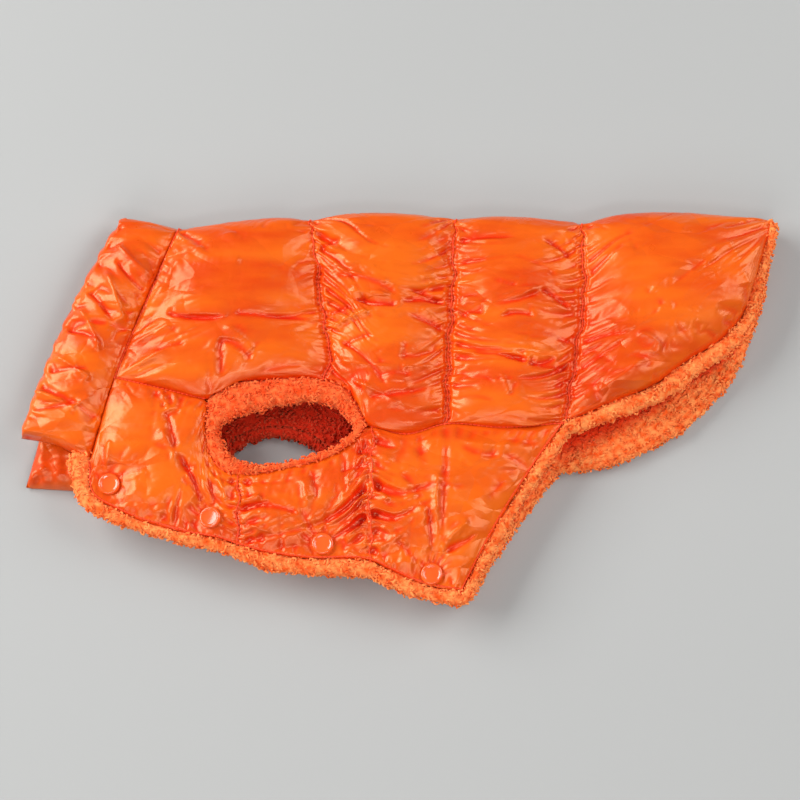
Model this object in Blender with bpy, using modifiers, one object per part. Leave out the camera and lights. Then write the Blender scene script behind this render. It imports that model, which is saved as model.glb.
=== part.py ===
"""A small dog's quilted winter coat, snapped shut and lying on its side.

The collar points along -X and the tail flap along +X. The back panel is folded over the spine, at +Y,
so every piece of it is a hairpin: a near wall on top, the fold, and a far wall on the table (z = 0).
Lengths in the tables are millimetres.
"""

import math

import bmesh
import bpy
import numpy as np
from mathutils import Vector

MM = 0.001

# Layers, from the table up.
SEAM_GAP = 0.3
CHANNEL_GAP = 0.36
FAR_SHELL = 3.5
LINING = 4.5
HOLLOW = 7.0
LAP_LINING = 3.5
LAP_SHELL = 2.2
LAP_GAP = 0.4
SEWN = 2.0
COLLAR_BASE = 6.0

FAR_LINING_Z = FAR_SHELL + SEAM_GAP
FAR_TOP_Z = FAR_LINING_Z + LINING
NEAR_LINING_Z = FAR_TOP_Z + HOLLOW
NEAR_SHELL_Z = NEAR_LINING_Z + LINING + SEAM_GAP
LAP_TOP_Z = NEAR_LINING_Z - LAP_GAP
LAP_SHELL_Z = LAP_TOP_Z - LAP_SHELL
LAP_LINING_TOP_Z = LAP_SHELL_Z - SEAM_GAP
LAP_LINING_Z = LAP_LINING_TOP_Z - LAP_LINING

# Padding: how high a section rises between its stitched edges.
BACK_LOFT = 8.5
BELLY_LOFT = 6.5
COLLAR_LOFT = 6.0
LOFT_POWER = 2.6
FOLD_LOFT = 0.55  # share of the loft that is left on the spine fold
FOLD_EASE = 0.3  # last share of a rib, over which the loft falls to that
FOLD_WALL = 0.6  # share of the fold's loft that thickens the wall there
TAIL_RISE = 0.45  # share of the tail flap's width over which it rises from its channel
HEM_REACH = 16.0
GROOVE_DEPTH = 1.5
GROOVE_WIDTH = 5.0
LEAST_WALL = 1.6

# Usual lengths of a piece, used to place its padding.
BACK_LENGTH = 100.0
COLLAR_LENGTH = 140.0
COLLAR_WIDTH = 44.0
BELLY_LENGTH = 240.0

# Underlap of the far belly panel, and the rolls of lining at the hems.
LAP_LENGTH = 28.0
LAP_FOLD_WALL = 2.8
ROLL_SIDES = 7
ROLL_HEIGHT_NEAR = 7.8
ROLL_HEIGHT_FAR = 7.4
ROLL_NEAR_Z = NEAR_LINING_Z + ROLL_HEIGHT_NEAR / 2 - 0.2
ROLL_FAR_Z = ROLL_HEIGHT_FAR / 2 + 0.05
RING_HEIGHT = 9.6
RING_LEAST_WIDTH = 3.0

# Press snap caps.
CAP_PROFILE = ((0.0, 1.3), (4.4, 1.3), (5.2, 1.9), (6.25, 1.1), (6.0, 0.0), (0.0, 0.0))
CAP_STEPS = 16
CAP_SEAT_RADIUS = 12.0
CAP_SEAT_BLEND = 9.0

# Ribs of the back panel, from the spine fold (top) down to the near and the far lower edge.
# bow is how far the rib's middle swings along +X.
BACK_RIBS = (
    # place, top_x, top_y, near_x, near_y, far_x, far_y, bow
    ("neck seam", -130, 111, -165, 19, -168.5, -4, -2),
    ("shoulder 1", -113, 113.5, -139, 13, -140, -17, -1),
    ("shoulder 2", -97, 116, -113, 6, -107, -31, 0),
    ("shoulder 3", -80, 117.5, -88, 16, -92, -12, 1),
    ("shoulder 4", -66, 118, -66, 18, -72, -6, 1),
    ("channel 1", -53, 116.5, -45, 18, -50, -12, 2),
    ("front middle 1", -36, 119.5, -30, 10, -39, -29, 1),
    ("front middle 2", -16, 120.5, -18, -10, -18, -33, 1),
    ("front middle 3", 8, 120, 4, -15, 4, -33, 0),
    ("channel 2", 33, 117, 26, -9, 26, -33, 0),
    ("rear middle 1", 50, 118, 42, -10, 44, -33, 1),
    ("rear middle 2", 70, 118, 60, -11, 62, -33, 3),
    ("rear middle 3", 89, 116.5, 77, -12, 78, -33, 4),
    ("channel 3", 107, 114, 94, -8, 90, -30.5, 5),
    ("tail 1", 128, 117, 122, 4, 118, -27, 4),
    ("tail 2", 150, 119, 146, 14, 146, -15, 3),
    ("tail 3", 172, 119.5, 168, 30, 170, 2, 2),
    ("tail 4", 193, 119, 188, 43, 190, 24, 1),
    ("tail 5", 208, 118.5, 200, 57, 202, 46, 1),
    ("tail edge", 219, 117.5, 207, 76, 211, 71, 1),
)
COLLAR_RIBS = (
    ("collar edge", -165, 117, -219, -16, -217, -42, -5),
    ("collar middle", -147, 114.5, -199, -20, -200, -43, -3),
    ("neck seam", -130, 111, -178.5, -31, -184, -44, -2),
)

# Quilted sections of the back: the channels that bound them, and how deep the gathers are at each.
SECTIONS = (
    # node, first rib, last rib, gather_front, gather_rear
    ("back_shoulder", "neck seam", "channel 1", 0.50, 0.40),
    ("back_mid_front", "channel 1", "channel 2", 0.90, 0.80),
    ("back_mid_rear", "channel 2", "channel 3", 0.75, 0.90),
    ("back_tail", "channel 3", "tail edge", 0.95, 0.0),
)
GATHERS = 15
GATHER_REACH = 15.0
SECTION_COLUMNS = (0.0, 0.05, 0.13, 0.25, 0.375, 0.5, 0.625, 0.75, 0.87, 0.95, 1.0)
TAIL_COLUMNS = (0.0, 0.05, 0.12, 0.21, 0.32, 0.44, 0.56, 0.67, 0.77, 0.85, 0.93, 1.0)

# Near belly flap: ribs from the side seam and the leg hole (top) to the snapped edge (low).
BELLY_NEAR_RIBS = (
    # place, top_x, top_y, low_x, low_y, bow
    ("neck seam", -165, 18, -178.5, -32, 0),
    ("throat", -152, 16, -176, -50, 0),
    ("chest 1", -139, 13, -163, -59, 0),
    ("chest 2", -126, 9, -148, -66, 0),
    ("leg front 1", -113, 4, -134, -70, 0),
    ("leg front 2", -112, -11, -123, -73, 0),
    ("leg front 3", -109, -27, -111, -75, 0),
    ("leg low 1", -101, -37, -101, -77, 0),
    ("gather 1", -92, -39, -92, -80, 0),
    ("leg low 2", -79, -38, -79, -84, 0),
    ("leg low 3", -63, -34.5, -62, -87, 0),
    ("leg low 4", -45, -30, -46, -88, 0),
    ("leg rear", -29, -22, -31, -88, 0),
    ("gather 2", -18, -11, -18, -89, 0),
    ("flank 1", 4, -15.5, -5, -95, 0),
    ("flank 2", 26, -9.5, 8, -101, 0),
    ("flank 3", 50, -11, 18, -104, 0),
    ("flank 4", 73, -12, 27, -106, -1),
    ("rear edge", 94, -9, 35, -107, -3),
)
BELLY_FAR_RIBS = (
    # place, top_x, top_y, fold_x, fold_y, bow
    ("neck seam", -168.5, -5, -184, -47, 0),
    ("chest 1", -150, -13, -170, -57, 0),
    ("chest 2", -128, -22, -144, -69.5, 0),
    ("leg front", -107, -32, -122, -78, 0),
    ("leg low 1", -103, -44, -106, -82, 0),
    ("leg low 2", -91, -55, -92, -87, 0),
    ("leg low 3", -72, -60, -72, -94, 0),
    ("leg low 4", -53, -55, -52, -97.5, 0),
    ("leg low 5", -41, -44, -38, -98, 0),
    ("leg rear", -37, -33.5, -24, -98, 0),
    ("flank 1", -10, -33.5, -4, -105.5, 0),
    ("flank 2", 26, -33.5, 12, -110.5, 0),
    ("flank 3", 60, -33.5, 25, -112, -1),
    ("rear edge", 89, -31, 34, -112, -3),
)

# Gather lines of the belly flap, from the leg hole to the snapped edge, as places along its ribs.
BELLY_GATHERS = ("gather 1", "gather 2")
BELLY_GATHER_DEPTH = 0.6
BELLY_GATHER_LOFT = 0.25
BELLY_WAVES = 5

# Seams that two pieces share: points they are both snapped to.
NECK_SEAM = ((-48, -183.5), (-31, -178.5), (20, -165), (65, -148), (111, -130))  # y, x
NEAR_SIDE_SEAM = ((-170, 20), (-113, 6), (-18, -10.5), (4, -15), (26, -9), (58, -11), (94, -8.5))
FAR_SIDE_SEAM = ((-175, -2), (-107, -31.5), (-37, -33.2), (90, -31))
SIDE_SEAM_GAP = 0.5
NECK_GAP = 0.6

# Near leg hole: where the ring of lining meets the shell, and its inner edge.
LEG_RING_NEAR = (
    # out_x, out_y, in_x, in_y
    (-110, 8, -102, -8),
    (-101, 15, -94, -5),
    (-83, 17, -81, -1),
    (-64, 18, -63, 3),
    (-46, 18, -46, 4),
    (-33, 12.5, -37, 1),
    (-24, 1, -30, -6),
    (-20.5, -10, -27, -12),
    (-30, -21.5, -34, -20),
    (-44, -29.5, -46, -26),
    (-63, -34.5, -64, -31),
    (-84, -38.5, -83, -33),
    (-101, -37, -96, -28),
    (-109.5, -27, -102, -20),
    (-112, -10, -104, -14),
)
FAR_HOLE_CENTRE = (-72, -33)
FAR_HOLE_OUTER = (35, 27)
FAR_RING_WIDTH = 7.0

# Hem roll widths along the tail edge, from channel 3 to the tip, and elsewhere.
TAIL_ROLL_NEAR = (8.0, 10.0, 11.0, 9.0, 6.0, 4.5)
TAIL_ROLL_FAR = (6.0, 6.0, 7.0, 7.0, 6.0, 4.5)
TAIL_EDGE_SHARE = 0.8  # where the tail's last rib stands in these tables
REAR_ROLL = 5.5
SNAPPED_ROLL = (5.0, 3.0, 4.0, 6.0, 6.5, 6.0, 6.0)
HEM_FOLD_INSET = 3.7
HEM_JOIN = 2.0

# Snap caps on the belly flap. lean tips a cap about Y, seat is the padding's height under it.
SNAPS = (
    # x, y, lean_degrees, seat
    (-166.5, -45.0, 0.0, 3.0),
    (-108.0, -65.0, -14.0, 5.0),
    (-44.0, -80.0, 0.0, 3.0),
    (18.0, -97.5, 0.0, 3.0),
)

# Main creases on the near side: soft troughs (height < 0) and ridges (height > 0).
CREASES = (
    # start_x, start_y, end_x, end_y, bow, width, height
    (-136, 56, -48, 51, -2, 4.5, -3.0),
    (-137, 76, -95, 109, 4, 6.0, 1.5),
    (-131, 91, -145, 59, 0, 5.0, 1.5),
    (-155, 37, -133, 51, 0, 5.0, 1.6),
    (-158, 25, -124, 43, -3, 5.0, 1.8),
    (-118, 43, -86, 25, 3, 4.5, -3.0),
    (-102, 37, -102, 20, 0, 4.0, -1.8),
    (-40, 87, 0, 72, 2, 4.5, 1.8),
    (-29, 64, 27, 62, -1, 4.0, -3.0),
    (5, 71, 28, 61, 0, 3.5, -2.0),
    (3, 55, 28, 46, 0, 4.0, -2.0),
    (-43, 43, -18, 55, 1, 5.0, 1.6),
    (-39, 27, 23, 23, -2, 5.0, 1.8),
    (-14, 15, 8, 12, 0, 4.0, -2.0),
    (35, 101, 69, 103, 1, 4.0, -1.6),
    (69, 92, 100, 77, 2, 4.5, -2.0),
    (33, 65, 50, 58, 0, 4.0, -2.0),
    (52, 61, 100, 58, 9, 5.0, 2.4),
    (57, 53, 80, 55, -2, 4.5, -2.2),
    (36, 34, 100, 28, -3, 4.5, -3.2),
    (92, 40, 133, 42, 0, 3.5, -2.4),
    (33, 16, 57, 11, 1, 4.0, -1.8),
    (184, 100, 138, 49, -4, 9.0, -2.6),
    (138, 43, 146, 22, 6, 5.0, 1.8),
    (146, 22, 113, 9, -2, 5.0, 1.8),
    (-133, -6, -118, -48, -3, 4.0, -2.8),
    (-92, -58, -60, -61, 0, 4.0, -1.8),
    (-51, -37, -48, -66, 3, 3.5, -2.0),
    (-37, -70, 0, -65, 0, 4.0, -1.8),
    (-12, -78, 6, -88, 2, 3.5, -2.0),
    (27, -84, 46, -72, 0, 4.0, -2.0),
    (33, -20, 75, -40, 3, 4.5, -2.4),
    (-28, -32, -2, -34, 0, 3.5, -1.6),
    (23, -22, 21, -62, 2, 4.5, 1.6),
)

COLOURS = {
    "shell": (0.90, 0.115, 0.008, 1.0),
    "sherpa": (0.82, 0.17, 0.035, 1.0),
    "cap": (0.92, 0.13, 0.012, 1.0),
}
ROUGHNESS = {"shell": 0.25, "sherpa": 0.95, "cap": 0.3}


# ---------------------------------------------------------------- curves and relief


def smooth(knots, values, place):
    """Smooth curve through values at knots, read at one place."""
    knots = np.asarray(knots, float)
    values = np.asarray(values, float)
    slopes = np.gradient(values, knots, axis=0)
    i = int(np.clip(np.searchsorted(knots, place, side="right") - 1, 0, len(knots) - 2))
    span = knots[i + 1] - knots[i]
    t = (place - knots[i]) / span
    start = (1 + 2 * t) * (1 - t) ** 2 * values[i] + t * (1 - t) ** 2 * span * slopes[i]
    end = t * t * (3 - 2 * t) * values[i + 1] + t * t * (t - 1) * span * slopes[i + 1]
    return start + end


def rise(distance, reach):
    """Padding's profile away from a stitched edge: 0 on the stitches, 1 from reach on."""
    inward = min(max(distance / reach, 0.0), 1.0)
    return (1 - (1 - inward) ** LOFT_POWER) ** (1 / LOFT_POWER)


def ease(value):
    """Smooth step from 0 to 1."""
    value = min(max(value, 0.0), 1.0)
    return value * value * (3 - 2 * value)


def fold_share(p):
    """Share of the loft at place p of a rib; it falls towards the spine fold."""
    return 1 - (1 - FOLD_LOFT) * ease((p - 1 + FOLD_EASE) / FOLD_EASE)


def crease_height(x, y):
    """What the main creases add to the padding's height at a place."""
    total = 0.0
    for start_x, start_y, end_x, end_y, bow, width, height in CREASES:
        run_x = end_x - start_x
        run_y = end_y - start_y
        length = math.hypot(run_x, run_y)
        along = ((x - start_x) * run_x + (y - start_y) * run_y) / length**2
        if -0.1 < along < 1.1:
            across = (-(x - start_x) * run_y + (y - start_y) * run_x) / length
            fade = math.sin(math.pi * min(max(along, 0.0), 1.0)) ** 0.5
            offset = (across - bow * 4 * along * (1 - along)) / width
            total += height * fade * math.exp(-offset * offset)
    return total


def gather_phase(p):
    """Gathers counted along a channel; their spacing drifts, so no two are alike."""
    return GATHERS * (p + 0.018 * math.sin(9.0 * p) + 0.008 * math.sin(31.0 * p + 1.0))


def gather_rows():
    """Places along a channel at the crest and the trough of every gather."""
    fine = np.linspace(0.0, 1.0, 2001)
    phases = np.array([gather_phase(p) for p in fine])
    halves = np.arange(math.ceil(phases[0] * 2 + 0.01), math.floor(phases[-1] * 2) + 1) / 2
    inner = np.interp(halves, phases, fine)
    return [0.0, *[p for p in inner if 0.012 < p < 0.985], 1.0]


def gather(p, distance, depth):
    """Share of the loft that the gathers take away beside a channel."""
    phase = gather_phase(p)
    uneven = 0.75 + 0.25 * math.sin(2.3 * round(phase))
    trough = 0.5 - 0.5 * math.cos(2 * math.pi * phase)
    return depth * uneven * trough * math.exp(-distance / GATHER_REACH)


# ---------------------------------------------------------------- plan of the ribs


class Ribs:
    """Ribs of a piece: each runs from its tip, on a fold, down to a near and a far edge."""

    def __init__(self, rows):
        table = np.array([row[1:] for row in rows], float)
        self.table = table
        step = np.hypot(np.diff(table[:, 0]), np.diff(table[:, 1]))
        step = step + np.hypot(np.diff(table[:, 2]), np.diff(table[:, 3]))
        self.at = np.concatenate([[0.0], np.cumsum(step)]) / step.sum()
        self.places = [row[0] for row in rows]

    def rib(self, u):
        return Rib(*smooth(self.at, self.table, u))

    def fraction(self, place):
        return self.at[self.places.index(place)]

    def columns(self, per_rib):
        """Places of the columns, the same number between every two ribs."""
        inner = [np.linspace(a, b, per_rib + 1)[:-1] for a, b in zip(self.at, self.at[1:])]
        return [*np.concatenate(inner), 1.0]


class Rib:
    """One rib in plan. side 0 is its near edge, side 1 its far edge."""

    def __init__(self, top_x, top_y, near_x, near_y, far_x, far_y, bow):
        self.top = np.array([top_x, top_y])
        self.near = np.array([near_x, near_y])
        self.far = np.array([far_x, far_y])
        self.bow = bow

    def length(self, side):
        low = self.near + (self.far - self.near) * side
        return float(np.linalg.norm(self.top - low))

    def point(self, from_tip, side):
        low = self.near + (self.far - self.near) * side
        t = 1 - from_tip / self.length(side)
        x, y = low + (self.top - low) * t
        return x + self.bow * 4 * t * (1 - t), y


FOLD_ANGLES = [math.pi * k / 5 for k in range(1, 5)]


def flat(z):
    """A wall side at one height all along a rib."""
    return lambda p: z


def hairpin(rib, inset, near_z, far_z, near_rows, far_rows, lap=None):
    """Points along one rib: up its near side, round the tip and down its far side.

    near_z and far_z give the height at a place p, 0 on the edge and 1 where the fold starts. lap is
    the length of a far side that stops short.
    """
    high = near_z(1.0)
    low = far_z(1.0)
    radius = abs(high - low) / 2
    centre = (high + low) / 2
    points = []
    for p in near_rows:
        start = rib.length(0)
        from_tip = start - p * (start - radius - inset)
        points.append((*rib.point(from_tip, 0), near_z(p)))
    for angle in FOLD_ANGLES:
        from_tip = inset + radius * (1 - math.sin(angle))
        height = centre + (high - centre) * math.cos(angle)
        points.append((*rib.point(from_tip, angle / math.pi), height))
    for p in reversed(far_rows):
        end = lap if lap else rib.length(1)
        from_tip = end - p * (end - radius - inset)
        points.append((*rib.point(from_tip, 1), far_z(p)))
    return points


# ---------------------------------------------------------------- seams


def near_rim():
    """The near leg hole's outline in the shell, as a closed fine polyline."""
    rows = np.array(LEG_RING_NEAR, float)[:, :2]
    looped = np.vstack([rows[-3:], rows, rows[:3]])
    knots = np.arange(-3, len(rows) + 3)
    steps = np.linspace(0, len(rows), 12 * len(rows), endpoint=False)
    return np.array([smooth(knots, looped, s) for s in steps])


NEAR_RIM = near_rim()
NEAR_RIM_CENTRE = np.array([-66.0, -10.0])


def near_rim_radius(direction):
    """Distance from the near hole's centre to its outline in one direction."""
    arms = NEAR_RIM - NEAR_RIM_CENTRE
    angles = np.arctan2(arms[:, 1], arms[:, 0])
    order = np.argsort(angles)
    angle = math.atan2(direction[1], direction[0])
    radii = np.hypot(arms[:, 0], arms[:, 1])[order]
    return float(np.interp(angle, angles[order], radii, period=2 * math.pi))


def far_rim_radius(direction):
    """The same for the far hole, an ellipse."""
    angle = math.atan2(direction[1], direction[0])
    a, b = FAR_HOLE_OUTER
    return a * b / math.hypot(b * math.cos(angle), a * math.sin(angle))


def seam_y(seam, x):
    """Height in plan of a side seam at x, on the stretch ahead of the leg or behind it."""
    front = seam[:2]
    rear = seam[2:]
    stretch = front if x < (front[1][0] + rear[0][0]) / 2 else rear
    knots = [point[0] for point in stretch]
    values = [point[1] for point in stretch]
    return float(smooth(knots, values, x))


def on_neck_seam(points, side):
    """Points of an edge moved onto the neck seam: curved in the near layer, straight in the far one."""
    knots = [point[0] for point in NECK_SEAM]
    values = [point[1] for point in NECK_SEAM]
    moved = []
    for x, y, z in points:
        if z > NEAR_LINING_Z - HOLLOW / 2:
            x = float(smooth(knots, values, y))
        else:
            x = float(np.interp(y, knots[:: len(knots) - 1], values[:: len(values) - 1]))
        moved.append((x + side * NECK_GAP / 2, y, z))
    return moved


def sewn(point, side, above):
    """A lower-edge point moved onto the side seam or the leg hole's outline."""
    x, y, z = point
    seam = FAR_SIDE_SEAM if side == "far" else NEAR_SIDE_SEAM
    front = seam[1][0]
    rear = seam[2][0]
    if x <= front or x >= rear:
        shift = SIDE_SEAM_GAP / 2 if above else -SIDE_SEAM_GAP / 2
        return x, seam_y(seam, x) + shift, z
    centre = np.array(FAR_HOLE_CENTRE if side == "far" else NEAR_RIM_CENTRE, float)
    arm = np.array([x, y]) - centre
    radius = far_rim_radius(arm) if side == "far" else near_rim_radius(arm)
    x, y = centre + arm * radius / np.linalg.norm(arm)
    return x, y, z


def on_rim(point, side):
    """Whether an edge point lies on the leg hole's outline."""
    seam = FAR_SIDE_SEAM if side == "far" else NEAR_SIDE_SEAM
    return seam[1][0] < point[0] < seam[2][0]


# ---------------------------------------------------------------- meshes


def band(first, second):
    """Triangles between two chains of vertices, matched by length along each."""
    reach = []
    for chain in (first, second):
        steps = [(a.co - b.co).length for a, b in zip(chain, chain[1:])]
        total = sum(steps) or 1.0
        reach.append([sum(steps[:k]) / total for k in range(len(chain))])
    i = 0
    j = 0
    triangles = []
    while i < len(first) - 1 or j < len(second) - 1:
        ahead = reach[0][i + 1] if i < len(first) - 1 else 2.0
        behind = reach[1][j + 1] if j < len(second) - 1 else 2.0
        if ahead <= behind:
            triangles.append((first[i], first[i + 1], second[j]))
            i += 1
        else:
            triangles.append((first[i], second[j + 1], second[j]))
            j += 1
    return triangles


def edges_of(grid):
    """The four border chains of a grid of vertices."""
    return grid[0], [row[-1] for row in grid], grid[-1], [row[0] for row in grid]


def skin(mesh, grid, split):
    """Faces over a grid of vertices."""
    for above, below in zip(grid, grid[1:]):
        for k in range(len(above) - 1):
            corners = (above[k], above[k + 1], below[k + 1], below[k])
            if split:
                mesh.faces.new((corners[0], corners[1], corners[2]))
                mesh.faces.new((corners[0], corners[2], corners[3]))
            else:
                mesh.faces.new(corners)


def finish_object(name, kind, mesh):
    bmesh.ops.recalc_face_normals(mesh, faces=mesh.faces)
    data = bpy.data.meshes.new(name)
    mesh.to_mesh(data)
    mesh.free()
    data.shade_smooth()
    data.set_sharp_from_angle(angle=math.radians(50))
    data.materials.append(bpy.data.materials[kind])
    made = bpy.data.objects.new(name, data)
    bpy.data.collections["dog_winter_coat"].objects.link(made)
    return made


def wall(name, kind, outer, inner):
    """A closed wall between an outer and an inner grid of points, whose borders are joined."""
    mesh = bmesh.new()
    grids = []
    for points in (outer, inner):
        grids.append([[mesh.verts.new(np.array(p) * MM) for p in row] for row in points])
    skin(mesh, grids[0], True)
    skin(mesh, grids[1], False)
    for first, second in zip(edges_of(grids[0]), edges_of(grids[1])):
        for triangle in band(first, second):
            mesh.faces.new(triangle)
    return finish_object(name, kind, mesh)


def across(columns):
    """Turns a list of columns of points into rows of points."""
    return [list(row) for row in zip(*columns)]


# ---------------------------------------------------------------- back panel


BACK = Ribs(BACK_RIBS)
NEAR_ROWS = gather_rows()
FAR_ROWS = [0.0, 0.25, 0.5, 0.75, 1.0]
INNER_ROWS = [0.0, 0.2, 0.4, 0.6, 0.8, 1.0]


class Section:
    """One quilted section of the back panel, with its columns and its padding."""

    def __init__(self, node, first, last, gather_front, gather_rear):
        self.node = node
        self.front_depth = gather_front
        self.rear_depth = gather_rear
        self.hem = last == "tail edge"
        self.start = BACK.fraction(first)
        self.end = BACK.fraction(last)
        front = BACK.rib(self.start)
        rear = BACK.rib(self.end)
        self.top_width = float(np.linalg.norm(rear.top - front.top))
        self.low_width = float(np.linalg.norm(rear.near - front.near))
        self.columns = TAIL_COLUMNS if self.hem else SECTION_COLUMNS

    def rib(self, u):
        """The rib at u, held half a seam gap inside the section's two ends."""
        rib = BACK.rib(self.start + (self.end - self.start) * u)
        if u == 0:
            shift = CHANNEL_GAP / 2
        elif u == 1 and not self.hem:
            shift = -CHANNEL_GAP / 2
        else:
            shift = 0.0
        for end in (rib.top, rib.near, rib.far):
            end[0] += shift
        return rib

    def distances(self, u, p):
        width = self.low_width + (self.top_width - self.low_width) * p
        return u * width, (1 - u) * width, width

    def loft(self, u, p, x, y):
        """Height of the padding above its stitched thickness."""
        to_front, to_rear, width = self.distances(u, p)
        if self.hem:
            reach = width * TAIL_RISE
            channels = rise(to_front, reach) * rise(to_rear, HEM_REACH)
        else:
            channels = rise(min(to_front, to_rear), width / 2)
        edge = rise(p * BACK_LENGTH, HEM_REACH)
        fold = fold_share(p)
        gathered = gather(p, to_front, self.front_depth) + gather(p, to_rear, self.rear_depth)
        body = BACK_LOFT * channels * edge * fold * (1 - gathered)
        return body + crease_height(x, y) * (channels * edge) ** 0.5 * fold

    def fold_inset(self, u):
        """Wall thickness of the shell at the spine fold."""
        to_front, to_rear, width = self.distances(u, 1.0)
        channels = rise(min(to_front, to_rear), width / 2)
        if self.hem:
            channels = rise(to_front, width * TAIL_RISE) * rise(to_rear, HEM_REACH)
        return SEWN + BACK_LOFT * FOLD_LOFT * FOLD_WALL * channels

    def groove(self, u):
        """How far the underside lifts off the table beside a channel."""
        to_front, to_rear, _ = self.distances(u, 0.5)
        nearest = to_front if self.hem else min(to_front, to_rear)
        return GROOVE_DEPTH * (1 - ease(nearest / GROOVE_WIDTH))

    def outer_column(self, u):
        rib = self.rib(u)

        def near_z(p):
            x, y = rib.point(rib.length(0) * (1 - p * 0.9), 0)
            return NEAR_SHELL_Z + max(SEWN + self.loft(u, p, x, y), LEAST_WALL)

        points = hairpin(rib, 0.0, near_z, flat(self.groove(u)), NEAR_ROWS, FAR_ROWS)
        return self.snapped(points, u)

    def inner_column(self, u):
        inset = self.fold_inset(u)
        points = hairpin(self.rib(u), inset, flat(NEAR_SHELL_Z), flat(FAR_SHELL), INNER_ROWS, FAR_ROWS)
        return self.snapped(points, u)

    def lining_column(self, u, outer):
        inset = self.fold_inset(u) + SEAM_GAP
        top, low = (NEAR_SHELL_Z - SEAM_GAP, FAR_LINING_Z)
        if not outer:
            inset += LINING
            top, low = (NEAR_LINING_Z, FAR_TOP_Z)
        rows = FAR_ROWS[::2]
        points = hairpin(self.rib(u), inset, flat(top), flat(low), rows, rows)
        return self.snapped(points, u)

    def snapped(self, points, u):
        """Both ends moved onto the side seams, and a front edge onto the neck seam."""
        if self.start == 0 and u == 0:
            points = on_neck_seam(points, 1)
        if not self.hem:
            points[0] = sewn(points[0], "near", True)
            points[-1] = sewn(points[-1], "far", True)
        return points


def back_sections():
    return [Section(*row) for row in SECTIONS]


def make_back(sections):
    grids = {}
    for section in sections:
        outer = across([section.outer_column(u) for u in section.columns])
        inner = across([section.inner_column(u) for u in section.columns])
        wall(section.node, "shell", outer, inner)
        grids[section.node] = outer
    return grids


def make_back_lining(sections):
    """One wall under all four sections, which share its columns."""
    outer = []
    inner = []
    for k, section in enumerate(sections):
        for u in section.columns[1 if k else 0 :]:
            outer.append(section.lining_column(u, True))
            inner.append(section.lining_column(u, False))
    wall("lining_back", "sherpa", across(outer), across(inner))


# ---------------------------------------------------------------- collar


COLLAR = Ribs(COLLAR_RIBS)
COLLAR_COLUMNS = (0.0, 0.1, 0.25, 0.45, 0.65, 0.82, 0.94, 1.0)
COLLAR_GATHER = 0.7


def collar_loft(u, p):
    to_edge = u * COLLAR_WIDTH
    to_seam = (1 - u) * COLLAR_WIDTH
    ends = rise(p * COLLAR_LENGTH, HEM_REACH) * fold_share(p)
    gathered = gather(p, to_edge, COLLAR_GATHER) + gather(p, to_seam, COLLAR_GATHER)
    return COLLAR_LOFT * rise(min(to_edge, to_seam), COLLAR_WIDTH / 2) * ends * (1 - gathered)


def collar_column(u, outer):
    rib = COLLAR.rib(u)
    if outer:
        base = NEAR_LINING_Z + COLLAR_BASE
        points = hairpin(rib, 0.0, lambda p: base + collar_loft(u, p), flat(0.0), NEAR_ROWS, FAR_ROWS)
    else:
        points = hairpin(rib, COLLAR_BASE, flat(NEAR_LINING_Z), flat(FAR_TOP_Z), INNER_ROWS, FAR_ROWS)
    if u == 1:
        points = on_neck_seam(points, -1)
    return points


def make_collar():
    outer = across([collar_column(u, True) for u in COLLAR_COLUMNS])
    inner = across([collar_column(u, False) for u in COLLAR_COLUMNS])
    wall("collar", "shell", outer, inner)


# ---------------------------------------------------------------- belly


BELLY_NEAR = Ribs([(n, tx, ty, lx, ly, lx, ly, b) for n, tx, ty, lx, ly, b in BELLY_NEAR_RIBS])
BELLY_FAR = Ribs([(n, fx, fy, tx, ty, tx, ty, b) for n, tx, ty, fx, fy, b in BELLY_FAR_RIBS])
BELLY_ROWS = [0.0, 0.05, 0.14, 0.24, 0.34, 0.44, 0.54, 0.64, 0.74, 0.84, 0.93, 1.0]
BELLY_INNER_ROWS = [0.0, 0.25, 0.5, 0.75, 1.0]


def belly_loft(u, v, x, y, length):
    """Padding of the near belly flap. v runs from the top edge to the snapped edge."""
    to_front = u * BELLY_LENGTH
    to_rear = (1 - u) * BELLY_LENGTH
    loft = BELLY_LOFT * rise(v * length, HEM_REACH) * rise((1 - v) * length, HEM_REACH)
    loft *= rise(to_front, HEM_REACH * 1.5) * rise(to_rear, HEM_REACH)
    for place in BELLY_GATHERS:
        distance = abs(u - BELLY_NEAR.fraction(place)) * BELLY_LENGTH
        wave = 0.5 - 0.5 * math.cos(2 * math.pi * BELLY_WAVES * v)
        loft *= BELLY_GATHER_LOFT + (1 - BELLY_GATHER_LOFT) * rise(distance, HEM_REACH)
        loft *= 1 - BELLY_GATHER_DEPTH * wave * math.exp(-distance / GATHER_REACH)
    edge = rise(v * length, HEM_REACH) * rise((1 - v) * length, HEM_REACH)
    return loft + crease_height(x, y) * edge**0.5


def with_snap_seats(x, y, height):
    """The padding pressed flat round each snap."""
    for snap_x, snap_y, lean, seat in SNAPS:
        distance = math.hypot(x - snap_x, y - snap_y)
        free = ease((distance - CAP_SEAT_RADIUS) / CAP_SEAT_BLEND)
        plane = seat + (x - snap_x) * math.tan(math.radians(-lean))
        height = plane + (height - plane) * free
    return height


def belly_thickness(u, v, x, y, length):
    """Thickness of the near belly flap: thin on its stitched edges, pressed flat at the snaps."""
    if v in (0.0, 1.0) or u in (0.0, 1.0):
        return SEWN
    return max(with_snap_seats(x, y, SEWN + belly_loft(u, v, x, y, length)), LEAST_WALL)


def belly_near_column(u, rows, z=None):
    """One rib of the near belly flap: its padded outside, or a plain layer at height z."""
    rib = BELLY_NEAR.rib(u)
    length = rib.length(0)
    points = []
    for v in rows:
        x, y = rib.point(v * length, 0)
        if z is None:
            height = NEAR_SHELL_Z + belly_thickness(u, v, x, y, length)
        else:
            height = z
        points.append((x, y, height))
    if u == 0:
        points = on_neck_seam(points, 1)
    points[0] = sewn(points[0], "near", False)
    return points


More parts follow.
